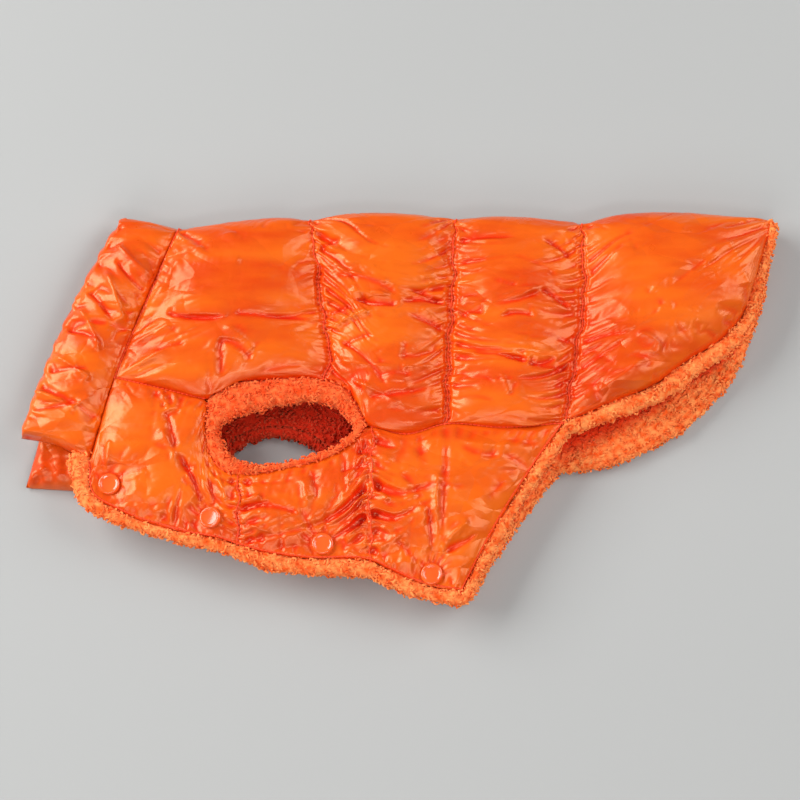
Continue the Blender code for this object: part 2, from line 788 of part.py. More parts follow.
def make_belly_near():
    columns = BELLY_NEAR.columns(2)
    outer = across([belly_near_column(u, BELLY_ROWS) for u in columns])
    layers = []
    for z in (NEAR_SHELL_Z, NEAR_SHELL_Z - SEAM_GAP, NEAR_LINING_Z):
        layers.append(across([belly_near_column(u, BELLY_INNER_ROWS, z) for u in columns]))
    wall("belly_near", "shell", outer, layers[0])
    wall("lining_belly_near", "sherpa", layers[1], layers[2])
    return outer


def belly_far_column(u, inset, low, high, lap):
    """One rib of the far belly panel: from its side seam, round the snapped edge, to the underlap."""
    rows = FAR_ROWS[::2]
    points = hairpin(BELLY_FAR.rib(u), inset, flat(low), flat(high), rows, rows, lap)
    if u == 0:
        points = on_neck_seam(points, 1)
    points[0] = sewn(points[0], "far", False)
    return points


def make_belly_far():
    columns = BELLY_FAR.columns(2)
    lining_inset = LAP_FOLD_WALL + SEAM_GAP
    outer = across([belly_far_column(u, 0.0, 0.0, LAP_TOP_Z, LAP_LENGTH) for u in columns])
    inner = across([belly_far_column(u, LAP_FOLD_WALL, FAR_SHELL, LAP_SHELL_Z, LAP_LENGTH) for u in columns])
    wall("belly_far", "shell", outer, inner)
    layers = []
    for inset, low, high in (
        (lining_inset, FAR_LINING_Z, LAP_LINING_TOP_Z),
        (lining_inset + LAP_LINING + LAP_GAP, FAR_TOP_Z, LAP_LINING_Z),
    ):
        layers.append(across([belly_far_column(u, inset, low, high, LAP_LENGTH) for u in columns]))
    wall("lining_belly_far", "sherpa", *layers)
    return outer


# ---------------------------------------------------------------- rolls and rings of lining


def roll(name, stations, closed=False):
    """A tube of lining. Each station is its seam point, outward and upward directions and size."""
    mesh = bmesh.new()
    rings = []
    for point, outward, upward, width, height in stations:
        ring = []
        for k in range(ROLL_SIDES):
            angle = 2 * math.pi * (k + 0.5) / ROLL_SIDES
            out = SEAM_GAP + width / 2 * (1 - math.cos(angle))
            up = height / 2 * math.sin(angle)
            ring.append(mesh.verts.new((point + outward * out + upward * up) * MM))
        rings.append(ring)
    pairs = list(zip(rings, rings[1:]))
    if closed:
        pairs.append((rings[-1], rings[0]))
    for first, second in pairs:
        for k in range(ROLL_SIDES):
            after = (k + 1) % ROLL_SIDES
            mesh.faces.new((first[k], first[after], second[after], second[k]))
    if not closed:
        mesh.faces.new(rings[0])
        mesh.faces.new(rings[-1])
    return finish_object(name, "sherpa", mesh)


def outward_directions(points, upward):
    """Mitred directions away from the cloth along an edge that is walked with the cloth on its left."""
    found = []
    for k, point in enumerate(points):
        total = np.zeros(3)
        for others, way in ((points[:k][::-1], -1), (points[k + 1 :], 1)):
            runs = [way * (other - point) for other in others if np.linalg.norm(other - point) > HEM_JOIN]
            if runs:
                total += np.cross(runs[0] / np.linalg.norm(runs[0]), upward[k])
        found.append(total / np.linalg.norm(total))
    return found


def hem_stations(sections, belly_near, belly_far):
    """The whole hem as one walk: snapped edge, rear edge, tail edge, over the spine, and back below."""
    tail = sections[-1]
    up = np.array([0.0, 0.0, 1.0])
    walk = []
    snapped = belly_near[-1]
    for k, point in enumerate(snapped):
        place = k / (len(snapped) - 1) * (len(SNAPPED_ROLL) - 1)
        width = np.interp(place, range(len(SNAPPED_ROLL)), SNAPPED_ROLL)
        walk.append(("belly", point[:2], ROLL_NEAR_Z, up, width))
    for row in belly_near[-2::-1]:
        walk.append(("belly", row[-1][:2], ROLL_NEAR_Z, up, REAR_ROLL))
    widths_at = np.linspace(0, 1, len(TAIL_ROLL_NEAR))
    for u in tail.columns:
        rib = tail.rib(u)
        width = np.interp(u * TAIL_EDGE_SHARE, widths_at, TAIL_ROLL_NEAR)
        walk.append(("tail", rib.near, ROLL_NEAR_Z, up, width))
    edge = tail.rib(1.0)
    middle = hairpin(edge, HEM_FOLD_INSET, flat(ROLL_NEAR_Z), flat(ROLL_FAR_Z), FAR_ROWS[1:], FAR_ROWS[1:])
    middle_count = len(FAR_ROWS) - 1
    for k, point in enumerate(middle):
        turn = min(max((k - middle_count + 1) / (len(FOLD_ANGLES) + 1), 0.0), 1.0) * math.pi
        normal = np.array([0.0, math.sin(turn), math.cos(turn)])
        to_tip = min(k, len(middle) - 1 - k) / (len(middle) / 2)
        share = TAIL_EDGE_SHARE + (1 - TAIL_EDGE_SHARE) * to_tip
        widths = TAIL_ROLL_NEAR if k < len(middle) / 2 else TAIL_ROLL_FAR
        walk.append(("tail", point[:2], point[2], normal, np.interp(share, widths_at, widths)))
    for u in tail.columns[::-1]:
        width = np.interp(u * TAIL_EDGE_SHARE, widths_at, TAIL_ROLL_FAR)
        walk.append(("tail", tail.rib(u).far, ROLL_FAR_Z, -up, width))
    far_rear = [row[-1] for row in belly_far][: len(FAR_ROWS[::2])]
    for point in far_rear:
        walk.append(("rear far", point[:2], ROLL_FAR_Z, -up, REAR_ROLL))
    points = [np.array([*place, z]) for _, place, z, _, _ in walk]
    upward = [step[3] for step in walk]
    outward = outward_directions(points, upward)
    stations = {}
    for step, point, direction in zip(walk, points, outward):
        near = step[3][2] > 0.5
        height = ROLL_HEIGHT_NEAR if near else ROLL_HEIGHT_FAR
        stations.setdefault(step[0], []).append([point, direction, step[3], step[4], height])
    return stations


def make_hems(stations):
    for name, key in (("roll_belly_near", "belly"), ("roll_tail", "tail"), ("roll_rear_far", "rear far")):
        roll(name, stations[key])


def ring_edge(above, below, side):
    """The leg hole's outline as the sewn edges make it: back panel above, belly panel below."""
    upper = [p for p in above if on_rim(p, side)]
    lower = [p for p in below if on_rim(p, side)]
    outline = upper[::-1] + lower
    kept = [np.array(outline[0][:2], float)]
    for point in outline[1:]:
        place = np.array(point[:2], float)
        if np.linalg.norm(place - kept[-1]) > 1.0:
            kept.append(place)
    return kept


def make_near_ring(above, below):
    edge = ring_edge(above, below, "near")
    rows = np.array(LEG_RING_NEAR, float)
    mid_z = NEAR_LINING_Z + RING_HEIGHT / 2 + SEAM_GAP
    arms = rows[:, 2:] - NEAR_RIM_CENTRE
    angles = np.arctan2(arms[:, 1], arms[:, 0])
    order = np.argsort(angles)
    reach = np.hypot(arms[:, 0], arms[:, 1])[order]
    stations = []
    for place in edge:
        arm = NEAR_RIM_CENTRE - place
        length = np.linalg.norm(arm)
        inner = np.interp(math.atan2(-arm[1], -arm[0]), angles[order], reach, period=2 * math.pi)
        inward = np.array([*(arm / length), 0.0])
        width = max(length - inner, RING_LEAST_WIDTH)
        stations.append((np.array([*place, mid_z]), inward, np.array([0.0, 0.0, 1.0]), width, RING_HEIGHT))
    roll("leg_ring_near", stations, closed=True)


def make_far_ring(above, below):
    centre = np.array(FAR_HOLE_CENTRE, float)
    mid_z = ROLL_HEIGHT_FAR / 2 + SEAM_GAP
    stations = []
    for place in ring_edge(above, below, "far"):
        arm = centre - place
        inward = np.array([*(arm / np.linalg.norm(arm)), 0.0])
        size = (FAR_RING_WIDTH, ROLL_HEIGHT_FAR)
        stations.append((np.array([*place, mid_z]), inward, np.array([0.0, 0.0, 1.0]), *size))
    roll("leg_ring_far", stations, closed=True)


# ---------------------------------------------------------------- snaps


def make_snaps():
    """Turned caps, each seated on the pressed padding of the belly flap."""
    for number, (x, y, lean, seat) in enumerate(SNAPS, start=1):
        data = bpy.data.meshes.new(f"snap_cap_{number}")
        points = [(r * MM, 0.0, z * MM) for r, z in CAP_PROFILE]
        data.from_pydata(points, [(k, k + 1) for k in range(len(points) - 1)], [])
        data.materials.append(bpy.data.materials["cap"])
        cap = bpy.data.objects.new(f"snap_cap_{number}", data)
        turn = cap.modifiers.new("turn", "SCREW")
        turn.steps = CAP_STEPS
        turn.render_steps = CAP_STEPS
        turn.use_merge_vertices = True
        turn.merge_threshold = 0.00001
        cap.location = np.array([x, y, NEAR_SHELL_Z + seat + SEAM_GAP]) * MM
        cap.rotation_euler = (0.0, math.radians(lean), 0.0)
        bpy.data.collections["dog_winter_coat"].objects.link(cap)


# ---------------------------------------------------------------- the coat


def clear_scene():
    for thing in list(bpy.data.objects):
        bpy.data.objects.remove(thing)


def make_materials():
    for kind, colour in COLOURS.items():
        material = bpy.data.materials.new(kind)
        material.use_nodes = True
        shader = material.node_tree.nodes["Principled BSDF"]
        shader.inputs["Base Color"].default_value = colour
        shader.inputs["Roughness"].default_value = ROUGHNESS[kind]


def centre_on_origin():
    """Moves the coat so that its box stands centred on the origin, on z = 0."""
    bpy.context.view_layer.update()
    graph = bpy.context.evaluated_depsgraph_get()
    corners = []
    parts = list(bpy.data.collections["dog_winter_coat"].objects)
    for part in parts:
        shape = part.evaluated_get(graph).data
        corners += [part.matrix_world @ vertex.co for vertex in shape.vertices]
    spots = np.array(corners)
    middle = (spots.min(0) + spots.max(0)) / 2
    shift = Vector((-middle[0], -middle[1], -spots[:, 2].min()))
    for part in parts:
        part.location += shift


def main():
    clear_scene()
    coat = bpy.data.collections.new("dog_winter_coat")
    bpy.context.scene.collection.children.link(coat)
    make_materials()
    sections = back_sections()
    back = make_back(sections)
    make_back_lining(sections)
    make_collar()
    belly_near = make_belly_near()
    belly_far = make_belly_far()
    make_hems(hem_stations(sections, belly_near, belly_far))
    near_above = back["back_shoulder"][0] + back["back_mid_front"][0]
    far_above = back["back_shoulder"][-1] + back["back_mid_front"][-1]
    make_near_ring(near_above, belly_near[0])
    make_far_ring(far_above, belly_far[0])
    make_snaps()
    centre_on_origin()


main()
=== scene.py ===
# %% [markdown]
# # A small dog's quilted winter coat, lying on its side
#
# The coat is a glossy nylon shell over padding, lined with curly fleece and snapped shut under the
# belly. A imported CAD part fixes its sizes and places, and this lesson dresses its solids. Lengths in the
# tables are millimetres, and meshes are made in metres.

import math
import time
from types import SimpleNamespace

import bmesh
import bpy
import numpy as np
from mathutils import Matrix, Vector


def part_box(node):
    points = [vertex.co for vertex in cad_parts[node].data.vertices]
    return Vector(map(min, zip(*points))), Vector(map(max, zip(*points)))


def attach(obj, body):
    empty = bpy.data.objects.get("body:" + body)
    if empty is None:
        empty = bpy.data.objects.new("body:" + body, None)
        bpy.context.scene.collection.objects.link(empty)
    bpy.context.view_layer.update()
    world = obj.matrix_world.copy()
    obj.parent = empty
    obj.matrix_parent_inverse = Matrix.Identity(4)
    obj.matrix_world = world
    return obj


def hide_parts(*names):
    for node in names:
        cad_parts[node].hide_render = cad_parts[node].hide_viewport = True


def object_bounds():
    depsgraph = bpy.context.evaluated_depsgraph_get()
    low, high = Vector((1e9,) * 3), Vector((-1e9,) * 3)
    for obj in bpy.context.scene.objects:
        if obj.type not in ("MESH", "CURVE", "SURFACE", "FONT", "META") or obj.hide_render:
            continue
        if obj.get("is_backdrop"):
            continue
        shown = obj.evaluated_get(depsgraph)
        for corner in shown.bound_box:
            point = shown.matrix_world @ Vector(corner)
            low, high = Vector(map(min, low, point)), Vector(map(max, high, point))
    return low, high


MM = 0.001
started = time.time()
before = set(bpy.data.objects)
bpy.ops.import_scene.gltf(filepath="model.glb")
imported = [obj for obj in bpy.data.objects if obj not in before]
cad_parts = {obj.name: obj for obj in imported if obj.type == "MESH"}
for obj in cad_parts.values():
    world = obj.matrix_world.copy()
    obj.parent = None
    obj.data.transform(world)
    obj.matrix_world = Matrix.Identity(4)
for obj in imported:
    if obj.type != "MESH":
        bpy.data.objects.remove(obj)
cad_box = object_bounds()
print("CAD nodes:", len(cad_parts))

# %% [markdown]
# ## The coat's plan
#
# A pattern cutter would draw each panel flat. Here each is a fan of ribs that start on a fold or a seam
# and run to an edge. A few rows give the outline, and a smooth curve fills in between.

# %% Ribs of the back and the collar
BACK_RIBS = (
    # place, top_x, top_y, near_x, near_y, far_x, far_y, bow
    ("neck seam", -130, 112.5, -165, 19, -168.5, -4, -2),
    ("shoulder 1", -113, 115, -139, 13, -140, -17, -1),
    ("shoulder 2", -97, 117.5, -113, 6, -107, -31, 0),
    ("shoulder 3", -80, 119, -88, 16, -92, -12, 1),
    ("shoulder 4", -66, 119.5, -66, 18, -72, -6, 1),
    ("channel 1", -53, 118, -45, 18, -50, -12, 2),
    ("front middle 1", -36, 120.5, -30, 10, -39, -29, 1),
    ("front middle 2", -16, 121.5, -18, -10, -18, -33, 1),
    ("front middle 3", 8, 121, 4, -15, 4, -33, 0),
    ("channel 2", 33, 118.5, 26, -9, 26, -33, 0),
    ("rear middle 1", 50, 119.5, 42, -10, 44, -33, 1),
    ("rear middle 2", 70, 119.5, 60, -11, 62, -33, 3),
    ("rear middle 3", 89, 118, 77, -12, 78, -33, 4),
    ("channel 3", 107, 115.7, 94, -8, 90, -30.5, 5),
    ("tail 1", 128, 118.5, 122, 4, 118, -27, 4),
    ("tail 2", 150, 120, 146, 14, 146, -15, 3),
    ("tail 3", 172, 120, 168, 30, 170, 2, 2),
    ("tail 4", 193, 119, 188, 43, 190, 24, 1),
    ("tail 5", 208, 118.5, 200, 57, 202, 46, 1),
    ("tail edge", 219, 117.5, 207, 76, 211, 71, 1),
)
COLLAR_RIBS = (
    # as above
    ("collar edge", -163.5, 120, -219, -16, -217, -42, -5),
    ("collar middle", -146.5, 116.5, -199, -20, -200, -43, -3),
    ("neck seam", -130, 112.5, -178.5, -31, -184, -44, -2),
)

# %% [markdown]
# The near belly flap hangs from the side seam and the leg hole, so its ribs start there. The far panel
# comes round from below, and its ribs end on a fold.

# %% Ribs of the belly
BELLY_NEAR_RIBS = (
    # place, top_x, top_y, low_x, low_y, bow
    ("neck seam", -165, 18, -178.5, -32, 0),
    ("throat", -152, 16, -176, -50, 0),
    ("chest 1", -139, 13, -163, -59, 0),
    ("chest 2", -126, 9, -148, -66, 0),
    ("leg front 1", -113, 4, -134, -70, 0),
    ("leg front 2", -112, -11, -123, -73, 0),
    ("leg front 3", -109, -27, -111, -75, 0),
    ("leg low 1", -101, -37, -101, -77, 0),
    ("gather 1", -92, -39, -92, -80, 0),
    ("leg low 2", -79, -38, -79, -84, 0),
    ("leg low 3", -63, -34.5, -62, -87, 0),
    ("leg low 4", -45, -30, -46, -88, 0),
    ("leg rear", -29, -22, -31, -88, 0),
    ("gather 2", -18, -11, -18, -89, 0),
    ("flank 1", 4, -15.5, -5, -95, 0),
    ("flank 2", 26, -9.5, 8, -101, 0),
    ("flank 3", 50, -11, 18, -104, 0),
    ("flank 4", 73, -12, 27, -106, -1),
    ("rear edge", 94, -9, 35, -107, -3),
)
BELLY_FAR_RIBS = (
    # place, top_x, top_y, fold_x, fold_y, bow
    ("neck seam", -168.5, -5, -184, -47, 0),
    ("chest 1", -150, -13, -170, -57, 0),
    ("chest 2", -128, -22, -144, -69.5, 0),
    ("leg front", -107, -32, -122, -78, 0),
    ("leg low 1", -103, -44, -106, -82, 0),
    ("leg low 2", -91, -55, -92, -87, 0),
    ("leg low 3", -72, -60, -72, -94, 0),
    ("leg low 4", -53, -55, -52, -97.5, 0),
    ("leg low 5", -41, -44, -38, -98, 0),
    ("leg rear", -37, -33.5, -24, -98, 0),
    ("flank 1", -10, -33.5, -4, -105.5, 0),
    ("flank 2", 26, -33.5, 12, -110.5, 0),
    ("flank 3", 60, -33.5, 25, -112, -1),
    ("rear edge", 89, -31, 34, -112, -3),
)

# %% [markdown]
# Two sewn panels must meet on one line, so the shared seams and the leg holes have tables of their own.

# %% Seams, leg holes and snaps
NECK_SEAM = ((-48, -183.5), (-31, -178.5), (20, -165), (65, -148), (111, -130))  # y, x
NEAR_SIDE_SEAM = ((-170, 20), (-113, 6), (-18, -10.5), (4, -15), (26, -9), (58, -11), (94, -8.5))
FAR_SIDE_SEAM = ((-175, -2), (-107, -31.5), (-37, -33.2), (90, -31))
LEG_RING_NEAR = (
    # out_x, out_y, in_x, in_y
    (-110, 8, -102, -8),
    (-101, 15, -94, -5),
    (-83, 17, -81, -1),
    (-64, 18, -63, 3),
    (-46, 18, -46, 4),
    (-33, 12.5, -37, 1),
    (-24, 1, -30, -6),
    (-20.5, -10, -27, -12),
    (-30, -21.5, -34, -20),
    (-44, -29.5, -46, -26),
    (-63, -34.5, -64, -31),
    (-84, -38.5, -83, -33),
    (-101, -37, -96, -28),
    (-109.5, -27, -102, -20),
    (-112, -10, -104, -14),
)
NEAR_RIM_CENTRE = np.array([-66.0, -10.0])
FAR_HOLE_CENTRE = np.array([-72.0, -33.0])
FAR_HOLE_OUTER = (35.0, 27.0)
SNAPS = (
    # x, y, lean_degrees, seat
    (-166.5, -45.0, 0.0, 3.0),
    (-108.0, -65.0, -14.0, 5.0),
    (-44.0, -80.0, 0.0, 3.0),
    (18.0, -97.5, 0.0, 3.0),
)
print("ribs:", len(BACK_RIBS + COLLAR_RIBS + BELLY_NEAR_RIBS + BELLY_FAR_RIBS), "snaps:", len(SNAPS))

# %% [markdown]
# ## Layers
#
# Lying flat, the coat is four layers deep: far shell, far lining, near lining, near shell, with a
# hollow between the linings. These heights are the CAD part's, so every layer sits where its solid is.

# %% Heights of the layers, and the plan's shift
SEAM_GAP = 0.3
FAR_SHELL = 3.5
LINING = 4.5
HOLLOW = 7.0
SEWN = 2.0  # a panel's thickness where it is stitched down
LAP_GAP = 0.4  # the underlap of the far belly panel: its gap, shell and lining
LAP_SHELL = 2.2
LAP_LINING = 3.5
FAR_LINING_Z = FAR_SHELL + SEAM_GAP
FAR_TOP_Z = FAR_LINING_Z + LINING
NEAR_LINING_Z = FAR_TOP_Z + HOLLOW
NEAR_SHELL_Z = NEAR_LINING_Z + LINING + SEAM_GAP
LAP_TOP_Z = NEAR_LINING_Z - LAP_GAP
LAP_SHELL_Z = LAP_TOP_Z - LAP_SHELL
LAP_LINING_TOP_Z = LAP_SHELL_Z - SEAM_GAP
LAP_LINING_Z = LAP_LINING_TOP_Z - LAP_LINING

cap_low, cap_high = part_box("snap_cap_1")
cap_middle = (cap_low + cap_high) / 2 / MM
SHIFT = np.array([cap_middle.x - SNAPS[0][0], cap_middle.y - SNAPS[0][1], 0.0])
print("plan moved by", SHIFT.round(2), "mm; near shell starts at", round(NEAR_SHELL_Z, 1), "mm")

# %% [markdown]
# ## Curves
#
# One curve function serves every table: it passes through each row with a smooth slope, as a flexible
# ruler would. It works on whole arrays at once, which keeps large meshes quick.

# %% Curves and ribs
def curve(knots, values, at):
    knots = np.asarray(knots, float)
    values = np.asarray(values, float)
    at = np.atleast_1d(np.asarray(at, float))
    slopes = np.gradient(values, knots, axis=0)
    i = np.clip(np.searchsorted(knots, at, side="right") - 1, 0, len(knots) - 2)
    span = knots[i + 1] - knots[i]
    t = (at - knots[i]) / span
    if values.ndim == 2:
        t = t[:, None]
        span = span[:, None]
    start = (1 + 2 * t) * (1 - t) ** 2 * values[i] + t * (1 - t) ** 2 * span * slopes[i]
    return start + t * t * (3 - 2 * t) * values[i + 1] + t * t * (t - 1) * span * slopes[i + 1]


def ease(value):
    value = np.clip(value, 0.0, 1.0)
    return value * value * (3 - 2 * value)


def rise(distance, reach, power=2.6):
    inward = np.clip(distance / reach, 0.0, 1.0)
    return (1 - (1 - inward) ** power) ** (1 / power)


class Fan:
    """A panel's ribs. at(u) gives the rib ends for an array of places u from 0 to 1."""

    def __init__(self, rows):
        self.table = np.array([row[1:] for row in rows], float)
        step = np.hypot(*np.diff(self.table[:, 0:2], axis=0).T)
        step = step + np.hypot(*np.diff(self.table[:, 2:4], axis=0).T)
        self.knots = np.concatenate([[0.0], np.cumsum(step)]) / step.sum()
        self.places = [row[0] for row in rows]

    def at(self, u):
        """Top, near and far ends of the ribs at u, and how far their middles bow."""
        table = curve(self.knots, self.table, u)
        return table[:, 0:2], table[:, 2:4], table[:, 4:6], table[:, 6]

    def place(self, name):
        return self.knots[self.places.index(name)]


BACK = Fan(BACK_RIBS)
COLLAR = Fan(COLLAR_RIBS)
# the belly's ribs end on one edge, and those of its far panel start on the fold
BELLY_NEAR = Fan([(name, *ends, *ends[2:], bow) for name, *ends, bow in BELLY_NEAR_RIBS])
BELLY_FAR = Fan([(name, *ends[2:], *ends[:2], *ends[:2], bow) for name, *ends, bow in BELLY_FAR_RIBS])
print("back channels at", [round(float(BACK.place(f"channel {k}")), 2) for k in (1, 2, 3)], "of its length")


def down_rib(top, low, bow, from_tip):
    """Plan points at distances from_tip (rows) below the tips of ribs (columns)."""
    length = np.linalg.norm(top - low, axis=1)
    t = 1 - from_tip / length
    plan = low + (top - low) * t[..., None]
    plan[..., 0] += bow * 4 * t * (1 - t)
    return plan

# %% [markdown]
# ## Folds and puckers
#
# Padded nylon never lies smooth: folds cross it where the coat has settled. Each is a row of a table,
# placed one by one, because real folds are uneven. A trough has a negative height, a ridge a positive one.

# %% Folds of the shoulder and the collar
SHOULDER_FOLDS = (
    # start_x, start_y, end_x, end_y, bow, width, height
    (-138, 56, -95, 54, -4, 2.6, -3.4),
    (-98, 54, -47, 52, 1, 2.4, -2.8),
    (-132, 64, -57, 60, 0, 6, 1.2),
    (-137, 76, -95, 109, 4, 6, 1.4),
    (-131, 91, -145, 59, 0, 5, 1.5),
    (-155, 37, -133, 50, 0, 3.5, 1.6),
    (-158, 24, -124, 42, -3, 3.5, 1.8),
    (-152, 47, -121, 53, 0, 3, 1.2),
    (-145, 32, -125, 37, 0, 3, -1.4),
    (-107, 41, -86, 26, 2, 3.0, -2.4),
    (-105, 46, -84, 33, 2, 4, 1.8),
    (-104, 40, -102, 14, 0, 3.2, -2.8),
    (-110, 34, -109, 5, 1, 5, -1.2),
    (-63, 86, -47, 90, 0, 3, -1.6),
    (-144, 83, -135, 86, 0, 2.5, 1.0),
    (-79, 40, -51, 34, -2, 5, 0.9),
    (-83, 20, -57, 24, 1, 3, -1.0),
    (-92, 86, -66, 83, 1, 5, -0.8),
    (-123, 86, -92, 89, -2, 5, 0.8),
)
COLLAR_FOLDS = (
    (-175, 86, -158, 50, 0, 4.5, 3.0),
    (-166, 100, -141, 73, 0, 4.5, 2.6),
    (-188, 60, -172, 30, 1, 3.5, 2.4),
    (-203, 34, -178, 14, 1, 3.5, 2.4),
    (-212, 9, -185, -2, 1, 3.2, 2.2),
    (-190, 0, -175, 7, 0, 3, 1.4),
    (-167, 90, -147, 70, -1, 2.5, -2.2),
    (-182, 70, -165, 48, 1, 2.4, -2.2),
    (-194, 46, -172, 38, 1, 2.4, -2.4),
    (-204, 22, -178, 22, 1, 2.2, -2.4),
    (-212, -2, -184, 4, -1, 2.2, -2.0),
)

# %% [markdown]
# The two middle sections carry the most folds, because channels pull them short on both sides.

# %% Folds of the middle sections
FRONT_MIDDLE_FOLDS = (
    (-40, 86, 0, 71, -1, 2.6, 1.7),
    (-45, 80, -1, 66, 3, 3, -1.6),
    (-29, 64, -1, 61, -1, 2.3, -3.6),
    (-1, 62, 26, 62, 2, 2.3, -2.6),
    (-30, 68, -3, 65, 0, 3, 1.4),
    (5, 71, 28, 61, 1, 1.8, -2.6),
    (18, 72, 30, 73, 0, 1.6, -2.2),
    (3, 55, 28, 46, 1, 2.2, -2.4),
    (12, 59, 29, 48, 0, 2.2, 1.2),
    (-45, 56, -29, 60, 0, 1.8, -2.2),
    (-43, 43, -18, 56, 2, 3.2, 1.8),
    (-39, 34, -16, 41, 2, 2.2, -1.8),
    (-38, 28, 0, 22, -2, 3.5, 1.5),
    (0, 22, 23, 23, 0, 3, 1.2),
    (-37, 17, -22, 8, 0, 4, -2),
    (-15, 17, 7, 18, 2, 2, -1.4),
    (2, 38, 3, 25, 0, 1.8, -1.4),
    (-16, 32, -10, 24, 0, 1.6, -1.2),
    (-13, 34, -11, 23, 0, 1.4, -1.0),
    (14, 23, 25, 28, 0, 1.8, -1.6),
    (-48, 96, -34, 104, 0, 2.4, -1.8),
    (14, 100, 28, 86, 0, 4, 1.0),
    (-34, 89, -9, 83, 0, 5, 0.8),
    (6, 13, 9, 6, 0, 2, -1.3),
    (-38, 40, -6, 8, 3, 2.6, -2.2),
    (-20, 6, 24, 12, -2, 2.6, -2.0),
    (-30, 14, 4, -2, 2, 2.6, 1.8),
    (24, 34, -6, 30, 2, 2.4, -1.8),
    (-47, 86, -38, 89, 0, 2, 1.3),
    (-23, 102, -16, 108, 0, 5, 0.9),
)
REAR_MIDDLE_FOLDS = (
    (34, 102, 70, 103, 1, 1.8, -2.6),
    (36, 104, 69, 106, 0, 3, 0.9),
    (83, 102, 101, 90, 1, 1.8, -2.4),
    (75, 102, 85, 103, 0, 3, 1.0),
    (36, 89, 52, 90, 0, 2, -1.2),
    (63, 91, 92, 78, 1, 4, -1.0),
    (53, 76, 68, 72, 0, 1.8, -1.2),
    (57, 66, 80, 70, 0, 3, 1.1),
    (32, 65, 50, 62, 3, 2, -1.2),
    (50, 64, 48, 55, -3, 1.8, -2.0),
    (48, 55, 32, 54, -2, 1.8, -2.4),
    (53, 60, 82, 69, -1, 2.0, -1.6),
    (53, 62, 82, 72, -1, 2.6, 1.4),
    (82, 70, 102, 56, 1, 2.0, -2.4),
    (83, 72, 102, 60, 1, 2.6, 1.3),
    (57, 52, 78, 53, 2, 2.0, -2.2),
    (78, 53, 83, 56, 0, 2.5, 1.0),
    (36, 48, 92, 46, 2, 6, -0.9),
    (37, 34, 75, 26, 0, 2.6, -3.8),
    (74, 26, 93, 30, -2, 2.4, -2.8),
    (74, 32, 74, 28, 0, 2, 1.0),
    (80, 24, 101, 23, 0, 1.6, -1.8),
    (57, 37, 90, 34, 2, 3.5, 1.0),
    (91, 40, 106, 40, 0, 1.7, -2.6),
    (32, 15, 57, 11, 4, 4, -1.6),
    (57, 20, 62, 6, 1, 2.4, 1.4),
    (64, 5, 69, 16, 0, 2.6, -1.2),
    (92, 17, 101, 6, 0, 4, -1.8),
    (33, 37, 39, 38, 0, 2, -1.4),
    (32, 4, 57, 1, 2, 3, -1.0),
)

# %% [markdown]
# The tail flap is free on one side, so its folds are few and wide. The belly flap is bunched beside the
# leg hole and pulled by its snaps, so its folds are short and run every way.

# %% Folds of the tail flap and the belly
TAIL_FOLDS = (
    (106, 40, 134, 42, 1, 1.8, -2.4),
    (109, 34, 126, 24, 0, 3, -1.4),
    (184, 100, 152, 64, 5, 10, -2.2),
    (152, 64, 137, 48, 2, 6, -1.4),
    (138, 43, 152, 28, 3, 3, 1.8),
    (149, 25, 112, 10, -2, 6.5, 3.2),
    (115, 16, 147, 26, 0, 3, -1.0),
    (189, 102, 198, 86, 1, 3, 1.2),
    (197, 85, 205, 72, 0, 3, 1.1),
    (147, 56, 159, 59, 0, 3, 1.1),
    (143, 64, 172, 83, 3, 5, 0.9),
    (167, 104, 186, 86, 3, 6, 0.8),
    (121, 64, 136, 53, 1, 4, 0.8),
    (109, 86, 138, 97, 2, 8, 0.8),
    (117, 53, 138, 46, -1, 3, 1.0),
    (107, 23, 122, 20, 0, 2.2, -1.6),
    (106, 13, 118, 16, 0, 2.2, -1.4),
    (152, 28, 172, 46, 4, 5, -0.9),
    (172, 53, 193, 76, 3, 5, 0.8),
)
